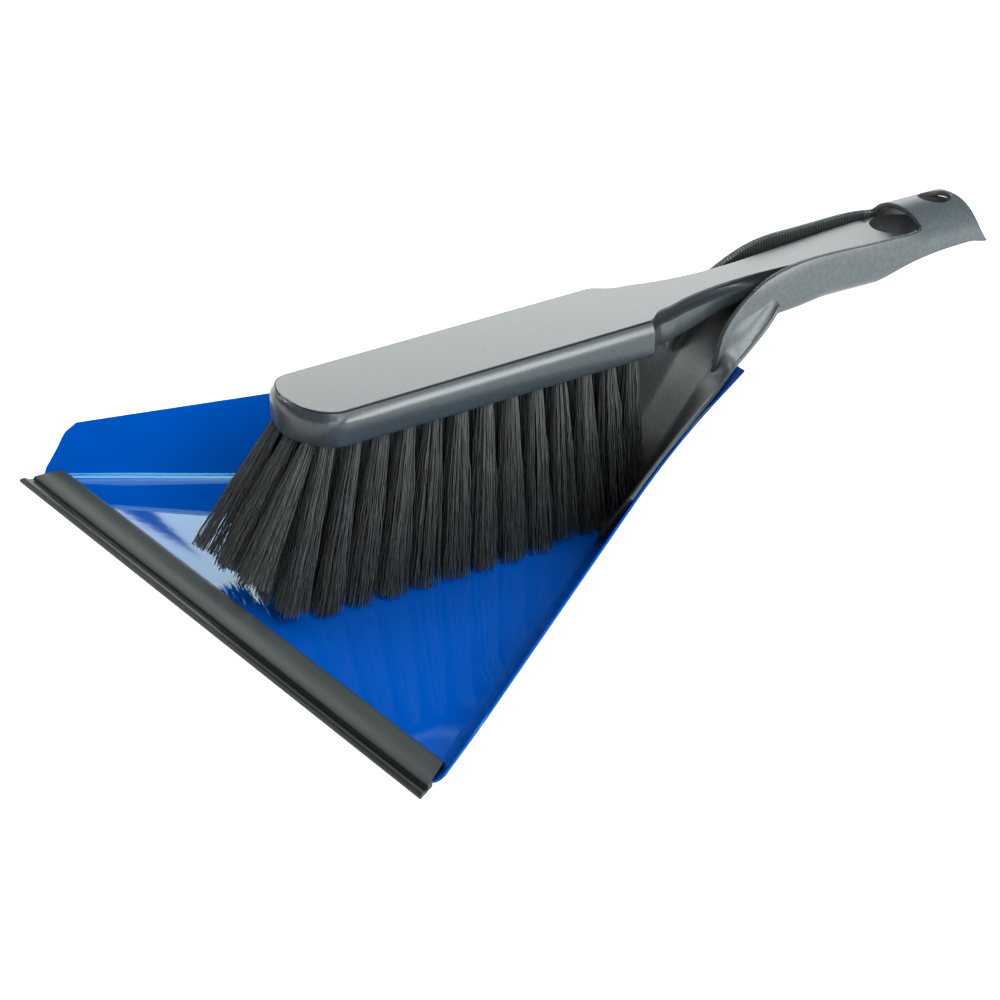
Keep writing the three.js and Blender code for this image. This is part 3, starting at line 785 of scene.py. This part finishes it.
def skirtSheet(name, out):
    # the tray's inside surface moved outwards by out, as far as the skirt reaches
    stations = joinSteps(backStations, steps(pan["depth"], hookEnd, 10))

    def place(i, j):
        y = stations[j]
        if y < rampStart:
            y = mix(skirtFront(i), rampStart, (y - skirtStart) / (rampStart - skirtStart))
        x, z = trayPoint(i, y, out, skirtDrop(y))
        return spot(x, y, z)

    return traySheet(name, len(stations) - 1, place)


def skirtSolid():
    skirt = skirtSheet("skirt", -pan["gap"])
    modify(skirt, "SOLIDIFY", thickness=pan["skirt"] * mm, offset=-1)
    roundEdges(skirt, trough["edgeRound"], 2)
    return skirt


def belowSkirt():
    # everything under the middle of the skirt's wall
    block = skirtSheet("below the skirt", -pan["gap"] - pan["skirt"] / 2)
    edit(block)
    bpy.ops.mesh.extrude_region_move(TRANSFORM_OT_translate={"value": (0, 0, -0.04)})
    leaveEdit(turnOut=True)
    return block


troughSplay = mix(troughStart, hookEnd, 0.56)
narrowEnd = troughStart + trough["narrowLead"]
wideStart = hoodStart - trough["wideLead"]
hoodStep = 0.6  # the rim rises to the hood in this length
troughHalfWidth = curveThrough(*[(y, inside + trough["wall"]) for y, inside in (
    (troughSplay, brush["neck"] + trough["neckRoom"]),
    (narrowEnd, eyeletOuter + trough["narrowRoom"]),
    (wideStart, eyeletOuter + trough["eyeletRoom"]),
    (hoodStart, eyeletOuter + trough["eyeletRoom"]),
    (hoodTopEnd, eyeletOuter + trough["hoodEndRoom"]),
)])
# how square the tube's upper and lower half are: 2 is an ellipse
topPower = curveThrough((troughSplay, 2), (narrowEnd, 5), (hoodStart - 12, 5), (hoodStart + 1, 2.2))
lowPower = curveThrough((troughSplay, 8), (narrowEnd, 2.7))
footFlare = curveThrough((mix(troughStart, hookEnd, 0.16), trough["flare"]), (mix(troughStart, hookEnd, 1.24), 0))


def tubeLow(y):
    # in front of the hook's end the trough's bottom runs inside the skirt's wall
    sunk = pan["gap"] + 0.4 * (1 - ease((y - hookEnd + 8) / 8))
    return floorHeight(y) - sunk if y < hookEnd else troughBottom


def tubeHalf(y, up):
    # how square the tube is, and how far it reaches above or below its shoulder
    if up:
        return topPower(y), hoodHeight - troughShoulder
    return lowPower(y), troughShoulder - tubeLow(y)


def tubePoint(y, angle):
    # right half of the trough's outside: a quarter turn down is the bottom, a quarter turn up the crown
    c, s = max(0, math.cos(angle)), math.sin(angle)
    if abs(c) < 1e-6:
        c = 0
    power, reach = tubeHalf(y, s > 0)
    spread = 0 if s > 0 else footFlare(y) * abs(s) * clamp01(c * 8)
    x = troughHalfWidth(y) * c ** (2 / power) + spread
    return x, troughShoulder + reach * math.copysign(abs(s) ** (2 / power), s)


def angleAt(y, z):
    # the angle at which the trough's outside is this high
    up = z > troughShoulder
    power, reach = tubeHalf(y, up)
    s = clamp01(abs(z - troughShoulder) / reach) ** (power / 2)
    return math.asin(s if up else -s)


def rimAt(y):
    foot = pan["rimEndHeight"] - 0.5
    if y < troughStart + trough["rimSweep"]:
        a = math.acos(clamp01(1 - (y - troughStart) / trough["rimSweep"]))
        dip = trough["tipDip"] * (1 - ease((y - troughStart) / trough["tipDip"]))
        return foot + (troughRim - foot) * math.sin(a) - dip
    sag = curveThrough((troughStart + trough["rimSweep"], 0), (wideStart, trough["rimSag"] / 2),
                       (hoodStart - hoodStep, trough["rimSag"]))
    if y > hoodStart - hoodStep:
        return mix(troughRim - trough["rimSag"], troughRim, clamp01((y - hoodStart + hoodStep) / hoodStep))
    return troughRim - sag(y)


# the trough's bottom is open from here, under the brush's grip
openAngle = 0.16 * math.pi / 2
openStart = hoodStart - trough["bottomEndLead"] + trough["bottomSweep"] * (1 - math.cos(openAngle))
openHeight = mix(troughBottom, hoodSide, math.sin(openAngle))


def lowEdgeAt(y):
    # lower edge of the side: level with the trough's corner at first, then along the open bottom
    if y <= openStart:
        low = tubeLow(y)
        return low + (rimAt(y) - low) * (openHeight - troughBottom) / (troughRim - troughBottom)
    start = hoodStart - trough["bottomEndLead"]
    if y < start + trough["bottomSweep"]:
        a = math.acos(clamp01(1 - (y - start) / trough["bottomSweep"]))
        return mix(troughBottom, hoodSide, math.sin(a))
    return mix(hoodSide, hoodFoot, ease((y - hoodTopEnd + 2) / (trough["footReach"] + 2)))


def endShift(y, z):
    t = clamp01((hoodHeight - z) / (hoodHeight - hoodFoot))
    return trough["footReach"] * (0.2 * t + 0.8 * t ** 3) * ease((y - hoodStart) / trough["hoodLength"])


def troughShell():
    # half the shell as three grids: bottom, side and the hood's crown
    sweep = [troughStart + trough["rimSweep"] * (1 - math.cos(a)) for a in steps(0, math.pi / 2, 22)]
    closedRows, hoodRows = 8, 14
    stations = joinSteps(sweep, steps(sweep[-1], openStart, closedRows), steps(openStart, hoodStart - hoodStep, 8),
                         [hoodStart - hoodStep, hoodStart], steps(hoodStart, hoodTopEnd, hoodRows))
    openRow = len(sweep) - 1 + closedRows
    hoodRow = len(stations) - 1 - hoodRows
    bottomColumns, sideColumns, crownColumns = 14, 26, 14

    def low(y):
        return angleAt(y, lowEdgeAt(y + trough["footReach"] * ease((y - hoodStart) / trough["hoodLength"])))

    def place(y, angle):
        x, z = tubePoint(y, angle)
        return spot(x, y + endShift(y, z), z)

    def bottomPlace(i, j):
        y = stations[j]
        return place(y, mix(-math.pi / 2, low(y), i / bottomColumns))

    def sidePlace(i, j):
        y = stations[j]
        return place(y, mix(low(y), angleAt(y, rimAt(y)), i / sideColumns))

    def crownPlace(i, j):
        y = stations[hoodRow + j]
        return place(y, mix(angleAt(y, rimAt(y)), math.pi / 2, i / crownColumns))

    bottom = laidGrid("troughBottom", bottomColumns, openRow, bottomPlace)
    shell = laidGrid("troughSide", sideColumns, len(stations) - 1, sidePlace)
    crown = laidGrid("hoodCrown", crownColumns, hoodRows, crownPlace)
    pick(shell, crown, bottom)
    bpy.ops.object.join()
    edit(shell)
    bpy.ops.mesh.remove_doubles(threshold=0.00002)
    leaveEdit(turnOut=True)
    modify(shell, "MIRROR", use_axis=(True, False, False), use_clip=True, use_mirror_merge=True,
           merge_threshold=0.00005)
    edit(shell)
    leaveEdit(turnOut=True)
    # faces look away from the trough's inside
    crownFace = max(shell.data.polygons, key=lambda f: f.center.z)
    if crownFace.normal.z < 0:
        shell.data.flip_normals()
    modify(shell, "SOLIDIFY", thickness=trough["wall"] * mm, offset=-1, use_even_offset=False)
    roundEdges(shell, trough["edgeRound"], 2, clamped=True)
    return shell


def flareAbove(y):
    # where the wall starts to lean out over the skirt's edge
    start = rimAt(y) if y > troughStart else pan["rimEndHeight"]
    lean = curveThrough((troughStart, 0.2), (troughStart + 6, 2.6), (troughStart + 26, 8.5))
    return min(start - lean(y), troughShoulder - 1)


def wallFlare(side):
    # solid web from the trough's wall out to the skirt's edge
    start = troughStart - trough["webLead"]
    turn = start + 16
    stations = joinSteps(steps(start, turn, 16), steps(turn, hookEnd - 0.2, 16))
    out = -pan["gap"] - pan["skirt"] / 2
    faceSteps = 12

    def skirtTop(x, y):
        # height of the skirt's inside
        line = trayHalf(y, -pan["gap"] - pan["skirt"], skirtDrop(y) + 0.25)
        for (xa, za), (xb, zb) in zip(line, line[1:]):
            if xa <= x <= xb:
                return mix(za, zb, (x - xa) / max(xb - xa, 1e-6))
        return line[-1][1]

    def place(i, j):
        y = stations[j]
        edge = trayHalf(y, out, skirtDrop(y) + 0.25)[-1]
        top = max(flareAbove(y), edge[1] + 0.2)
        wallX = tubePoint(y, angleAt(y, min(top, troughShoulder)))[0] - 0.25

        def face(t):
            # the web's hollow top, from the wall to the skirt's edge; it starts flush with the skirt
            sag = trough["webHollow"] * math.sin(math.pi * t) * min(1, (top - edge[1]) / 8)
            x, z = mix(wallX, edge[0], t) - sag, mix(top, edge[1] + 0.35, t) - sag * 0.4
            low = skirtTop(x, y) + 0.04
            return x, mix(min(z, low), z, ease((y - start) / 14))

        line = [face(t) for t in steps(0, 1, faceSteps)]
        line += [(edge[0] - 0.2, edge[1] - 0.1), (wallX - 0.6, min(edge[1], floorHeight(y)) - 0.1),
                 (line[0][0] - 0.6, line[0][1] - 0.6), line[0]]
        x, z = line[i]
        return spot(x * side, y, z)

    return laidGrid("wallFlare", faceSteps + 4, len(stations) - 1, place, capped=True)


def wallRibs(side):
    # a ribbed band on the inside and over the rim of the trough's wall
    pitch = trough["ribPitch"]
    start, end = troughStart + trough["ribLead"], hoodStart - trough["ribEnd"]
    count = round((end - start) / pitch)
    pitch = (end - start) / count
    shape = [(0, 0), (0.22, 1), (0.6, 1), (0.82, 0)]  # one rib: parts of the pitch and of the rib's height
    stations = [(start + pitch * (k + at), height) for k in range(count) for at, height in shape] + [(end, 0)]

    def place(i, j):
        y, height = stations[j]
        rise = trough["ribHeight"] * height
        rim = rimAt(y)
        outer = tubePoint(y, angleAt(y, rim))[0]
        base = max(troughShoulder - 3, lowEdgeAt(y) + 1.2)  # foot of the ribs
        low = tubePoint(y, angleAt(y, base))[0] - trough["wall"]
        inner = outer - trough["wall"]
        middle = mix(troughShoulder, rim, 0.5)
        line = [(low + 0.5, base), (low - rise, base), (inner - rise, middle), (inner - rise, rim - 0.5),
                (inner + 0.3, rim + rise - 0.15), (outer - 0.6, rim + rise - 0.15), (outer - 0.5, rim - 0.6),
                (inner + 0.9, rim - 0.9), (inner + 0.5, middle), (low + 0.5, base)]
        x, z = line[i]
        return spot(x * side, y, z)

    return laidGrid("wallRibs", 9, len(stations) - 1, place, capped=True)


def holeCollar():
    # short tube under the hanging hole, ended above the brush's way out
    wall = 1.5
    low, high = brushTop(eyeletCentre) + 0.9, hoodHeight - 2.6
    tube = added(bpy.ops.mesh.primitive_cylinder_add, vertices=48, radius=(trough["holeRadius"] + wall / 2) * mm,
                 depth=(high - low) * mm, end_fill_type="NOTHING", location=spot(0, holeCentre, (low + high) / 2))
    bpy.ops.object.transform_apply(location=True)
    modify(tube, "SOLIDIFY", thickness=wall * mm, offset=0)
    return tube


def makePanHandle():
    shell = troughShell()
    hole = trough["holeRadius"]
    bore = added(bpy.ops.mesh.primitive_cylinder_add, vertices=48, radius=hole * mm, depth=0.02,
                 location=spot(0, holeCentre, hoodHeight))
    countersink = added(bpy.ops.mesh.primitive_cone_add, vertices=48, radius1=(hole - 0.6) * mm,
                        radius2=(hole + 1.2) * mm, depth=3 * mm, location=spot(0, holeCentre, hoodHeight - 0.2))
    for tool in (belowSkirt(), bore, countersink):
        combine(shell, tool, "DIFFERENCE")
    for other in (holeCollar(), wallRibs(-1), wallRibs(1), skirtSolid(), wallFlare(-1), wallFlare(1)):
        combine(shell, other, "UNION")
    shell.name = "panHandle"
    finishPiece(shell, "pan", ["pan_handle"], handlePlastic, angle=38)


makePanHandle()
print("pan handle made")


def alongNeck(share):
    return mix(blockEnd, neckAt, share)


# parts of the way along the neck, and of the neck's half width there
neckShape = [(0.27, 1.72), (0.39, 1.45), (0.6, 1.14), (0.85, 0.96), (1.08, 0.93), (1.35, 1.06)]
bodyHalfWidth = softCurve(
    (blockEnd, brush["top"]), (alongNeck(0.04), brush["top"] - 1.2), (alongNeck(0.15), brush["top"] * 0.72),
    *[(alongNeck(share), brush["neck"] * part) for share, part in neckShape],
    (mix(neckAt, gripAt, 0.6), brush["grip"] * 0.84), (gripAt, brush["grip"]),
)
ledgeWidth = softCurve((blockEnd, brush["shoulder"] - brush["top"]), (alongNeck(0.05), 1.2),
                       (alongNeck(0.6), 1.1), (alongNeck(1.3), 0))
fluteDepth = softCurve((alongNeck(0.5), brush["flute"]), (alongNeck(1), brush["flute"] * 0.6),
                       (alongNeck(1.35), 0))
bodyBottom = softCurve(
    (blockEnd, brush["underside"]),
    (alongNeck(0.45), brush["underside"] + 0.6),
    (alongNeck(0.95), brushTop(neckAt) - brush["neckThickness"]),
    (alongNeck(1.2), brushTop(neckAt) - brush["neckThickness"]),
    (gripAt - 28, brush["underside"]),
    (eyeletCentre - brush["eyelet"], brushTop(eyeletCentre) - brush["eyeletThickness"]),
)
# the underside is flat under the block, round under the grip and flat again under the eyelet
undersideRound = curveThrough((alongNeck(0.5), 0), (alongNeck(1.2), 1), (gripAt - 8.5, 1), (gripAt + 0.2, 0))
lowBevel = curveThrough((gripAt - 17, 0.8), (gripAt, 2.6))
topBevel = curveThrough((eyeletCentre - 5, 0.6), (eyeletCentre + 3, 2.4))
noseCentre = brushFront + brush["noseLength"]


def noseShare(y, extra):
    # share of the half width in the rounded nose, whose circle is longer by extra
    t = (noseCentre - y) / (brush["noseLength"] + extra)
    return 1 if t <= 0 else math.sqrt(max(0, 1 - t * t))


# side profiles from the top's edge down to the shoulder: outwards in parts of the ledge plus mm, down in mm
groove = [(0, -0.3, 0), (0, -0.25, 0.9), (0, 0.15, 0.9), (0, 0.2, 0.5), (0.2, 0.15, 0.45)]
blockSide = groove + [(0.45, 0, 1), (0.68, 0, 2), (0.86, 0, 3), (0.96, 0, 3.8), (1, 0, 4.6)]
noseSide = groove + [(0.4, 0, 1), (0.66, 0, 1.8), (0.9, 0, 2.6), (0.98, 0, 2.95), (1, 0, 4.6)]
fluteSide = [(0, -0.15, 0), (0, 0, 0.2), (0, 0, 0.6), (0, -0.45, 0.85), (0, -0.85, 1.5),
             (0, -1, 2.3), (0, -0.8, 3.1), (0.1, -0.35, 3.75), (0.75, -0.05, 4.15), (1, 0, 4.45)]
plainSide = [(0, -0.15, 0), (0.1, 0, 0.12), (0.25, 0, 0.3), (0.4, 0, 0.6), (0.55, 0, 1),
             (0.7, 0, 1.5), (0.83, 0, 2.1), (0.93, 0, 2.8), (0.98, 0, 3.5), (1, 0, 4.3)]


def sideProfile(y):
    intoFlute = ease((y - blockEnd) / 1.4)
    intoPlain = ease((y - alongNeck(0.95)) / (alongNeck(1.35) - alongNeck(0.95)))
    intoNose = ease((noseCentre + 3 - y) / 7)
    line = []
    for straight, nose, flute, plain in zip(blockSide, noseSide, fluteSide, plainSide):
        block = [mix(a, b, intoNose) for a, b in zip(straight, nose)]
        hollow = (flute[0], flute[1] * (fluteDepth(y) if flute[1] < -0.2 else 1), flute[2])
        line.append([mix(mix(a, b, intoFlute), c, intoPlain) for a, b, c in zip(block, hollow, plain)])
    return line


def brushHalf(y):
    # right half of a cross-section, from the middle of the top round to the middle of the underside
    top = bodyHalfWidth(y) * noseShare(y, brush["top"] - brush["shoulder"])
    side = (bodyHalfWidth(y) + ledgeWidth(y)) * noseShare(y, 0)
    if y > gripAt:
        swell = ease((y - gripAt) / (eyeletCentre - gripAt))
        past = max(0, y - eyeletCentre)
        side = mix(brush["grip"], eyeletOuter, swell)
        side = min(side, math.sqrt(max(0, eyeletOuter ** 2 - past ** 2)))
        top = side - topBevel(y)
    top = max(top, 0.4)
    side = max(side, 0.6)
    low = bodyBottom(y)
    shoulder = brushTop(y) - brush["shoulderDrop"]
    share = clamp01((y - brushFront) / (brush["shoulder"] - brush["top"]))
    crown = mix(shoulder, brushTop(y), math.sqrt(max(0.02, share * (2 - share))))
    rounded = undersideRound(y)
    bevel = min(side / 2, lowBevel(y))
    half = [(0, crown), (top * 0.5, crown)]
    narrow = ease((top - 1.5) / 5)
    for plain, shaped in zip(plainSide, sideProfile(y)):
        part, out, drop = [mix(a, b, narrow) for a, b in zip(plain, shaped)]
        height = mix(crown, shoulder, drop / brush["shoulderDrop"])
        half.append((top + (side - top) * part + out * narrow, height))
    half += [
        (mix(side, side * 0.97, rounded), mix(low + 1.5 * bevel, mix(shoulder, low, 0.35), rounded)),
        (mix(side - bevel, side * 0.72, rounded), mix(low, mix(shoulder, low, 0.82), rounded)),
        (mix((side - bevel) * 0.7, side * 0.35, rounded), low),
        (0, low),
    ]
    return half


tufts = {
    "rows": 4,
    "columns": 13,
    "rowPitch": 8.8,
    "frontInset": 8.1,
    "rearInset": 5.6,
    "radius": 2.3,  # at the root
    "holeDepth": 3,
    "frontSpread": 1.33,  # tips stand this much further apart than roots
    "midSpread": 1.6,
    "backSpread": 1.27,
    "frontLean": 18,  # tips lie this far before the roots
    "backLean": 3,
    "noseCount": 3,
    "noseInset": 4.2,
    "nosePitch": 8.8,
    "noseLean": 25,
    "noseSpread": 1.5,
    "noseTrim": 0.7,  # slope of the trimmed tips
    "noseTip": 15,
    "noseShrink": 0.85,
    "clearance": 0.6,
    "strands": 150,
    "fill": 0.42,  # strands crowd towards the edge of the bundle below 0.5
    "rootFill": 0.92,
    "tipFill": 0.96,
    "strandRadius": 0.19,
    "taper": 0.35,
    "waves": 3.3,
    "crimp": (0.2, 0.45),
    "wander": 0.35,
    "uneven": 0.9,  # spread of the strands' lengths
}
tuftPitch = (brush["blockLength"] - tufts["frontInset"] - tufts["rearInset"]) / (tufts["columns"] - 1)
spreadAt = curveThrough((0, tufts["frontSpread"]), (0.5, tufts["midSpread"]), (0.85, tufts["midSpread"]),
                        (1, tufts["backSpread"]))


def tuftRoots():
    roots = []
    for column in range(tufts["columns"]):
        share = column / (tufts["columns"] - 1)
        for row in range(tufts["rows"]):
            x = tufts["rowPitch"] * (row - (tufts["rows"] - 1) / 2)
            y = brushFront + tufts["frontInset"] + tuftPitch * column
            roots.append((f"row{row + 1}_{column + 1:02d}", x, y, share))
    for i in range(tufts["noseCount"]):
        x = tufts["nosePitch"] * (i - (tufts["noseCount"] - 1) / 2)
        roots.append((f"nose_{i + 1}", x, brushFront + tufts["noseInset"], None))
    return roots


def makeBrushBody():
    nose = [noseCentre - brush["noseLength"] * math.sin(a) for a in steps(math.pi / 2, 0, 16)]
    tail = [eyeletCentre + eyeletOuter * math.sin(a) for a in steps(0, 0.97 * math.pi / 2, 14)]
    stations = joinSteps(nose, steps(noseCentre, blockEnd, 10), steps(blockEnd, blockEnd + 1.4, 5),
                         steps(blockEnd + 1.4, alongNeck(1.35), 44), steps(alongNeck(1.35), gripAt, 16),
                         steps(gripAt, eyeletCentre, 8), tail)
    count = len(brushHalf(stations[0]))
    around = 2 * (count - 1)

    def place(i, j):
        y = stations[j]
        x, z = brushHalf(y)[min(i, around - i)]
        return spot(x if i < count else -x, y, z)

    body = laidGrid("brushBody", around, len(stations) - 1, place, capped=True)
    eye = added(bpy.ops.mesh.primitive_cylinder_add, vertices=64, radius=brush["eyelet"] * mm, depth=0.03,
                location=spot(0, eyeletCentre, brushTop(eyeletCentre) - 4))
    combine(body, eye, "DIFFERENCE")
    finishPiece(body, "brush", ["brush_body"], brushPlastic, angle=35)


makeBrushBody()
print("brush body made")


def traySurface(x, y):
    # height of the pan's or the skirt's inside under a point
    out = -pan["gap"] - pan["skirt"] if y > skirtStart - tufts["clearance"] else 0
    half = trayHalf(max(y, lipFront), out, 0)
    ax = abs(x)
    for (x0, z0), (x1, z1) in zip(half, half[1:]):
        if ax <= x1:
            return z1 if x1 == x0 else mix(z0, z1, (ax - x0) / (x1 - x0))
    return half[-1][1]


def strandShape():
    # one bristle, drawn as a three-sided rod of length 1 along Z
    strand = added(bpy.ops.mesh.primitive_cylinder_add, vertices=3, radius=1, depth=1, end_fill_type="NOTHING",
                   location=(0, 0, 0.5))
    bpy.ops.object.transform_apply(location=True)
    edit(strand)
    for height in steps(0, 1, 10)[1:-1]:
        bpy.ops.mesh.select_all(action="SELECT")
        bpy.ops.mesh.bisect(plane_co=(0, 0, height), plane_no=(0, 0, 1))
    leaveEdit()
    points = [v.co.copy() for v in strand.data.vertices]
    faces = [list(p.vertices) for p in strand.data.polygons]
    bpy.data.objects.remove(strand)
    return points, faces


def makeTuft(name, x, y, share, strand):
    # share runs from 0 at the front of the rows to 1 at their back; the nose's tufts have none
    points, faces = strand
    dice = random.Random(name)
    nose = share is None
    lean = tufts["noseLean"]
    if not nose:
        lean = tufts["frontLean"] * (1 - share) ** 1.3 + tufts["backLean"] * share ** 4
    tipX = x * (tufts["noseSpread"] if nose else spreadAt(share))
    tipY = y - lean
    shrink = tufts["noseShrink"] if nose else 1
    halfX = (tufts["rowPitch"] * tufts["backSpread"]) / 2 * shrink
    halfY = tuftPitch / 2 * shrink
    rootZ = brush["underside"] + (1 if nose else tufts["holeDepth"])
    tuftPoints, tuftFaces = [], []
    for k in range(tufts["strands"]):
        a = dice.uniform(0, 2 * math.pi)
        r = dice.random() ** tufts["fill"]
        across, along = r * math.cos(a), r * math.sin(a)
        # the round bundle at the root opens to a nearly square one at the tip
        square = 1 / max(abs(math.cos(a)), abs(math.sin(a))) ** 0.7
        endX = tipX + across * halfX * square * tufts["tipFill"]
        endY = tipY + along * halfY * square * tufts["tipFill"]
        if nose:
            endZ = tufts["noseTip"] - (endY - tipY) * tufts["noseTrim"]
        else:
            # tips over the lip stay above it
            over = pan["lipHeight"] if tipY - halfY < pan["lipDepth"] + tuftPitch else 0
            endZ = max(traySurface(endX, endY), over) + tufts["clearance"]
        endZ += abs(dice.gauss(0, tufts["uneven"]))
        start = Vector((x + across * tufts["radius"] * tufts["rootFill"],
                        y + along * tufts["radius"] * tufts["rootFill"], rootZ))
        end = Vector((endX, endY, endZ))
        wander = Vector((dice.gauss(0, tufts["wander"]), dice.gauss(0, tufts["wander"]), 0))
        crimp = Vector((dice.gauss(0, 1), dice.gauss(0, 1), 0)).normalized() * dice.uniform(*tufts["crimp"])
        phase = dice.uniform(0, 2 * math.pi)
        spin = dice.uniform(0, 2)
        base = len(tuftPoints)
        for p in points:
            t = p.z
            waves = crimp * math.sin(phase + 2 * math.pi * tufts["waves"] * t) * ease(t * 2.5)
            centre = start.lerp(end, t) + wander * math.sin(math.pi * t) + waves
            width = tufts["strandRadius"] * (1 - tufts["taper"] * t)
            turned = Matrix.Rotation(spin, 3, "Z") @ Vector((p.x, p.y, 0))
            tuftPoints.append(spot(centre.x + turned.x * width, centre.y + turned.y * width, centre.z))
        tuftFaces += [[base + v for v in face] for face in faces]
    mesh = bpy.data.meshes.new("bristles_" + name)
    mesh.from_pydata(tuftPoints, [], tuftFaces)
    mesh.materials.append(filament)
    for face in mesh.polygons:
        face.use_smooth = True
    tuft = bpy.data.objects.new(mesh.name, mesh)
    scene.collection.objects.link(tuft)
    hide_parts("tuft_" + name)
    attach(tuft, "brush")


strand = strandShape()
for name, x, y, share in tuftRoots():
    makeTuft(name, x, y, share, strand)
print("bristles made")
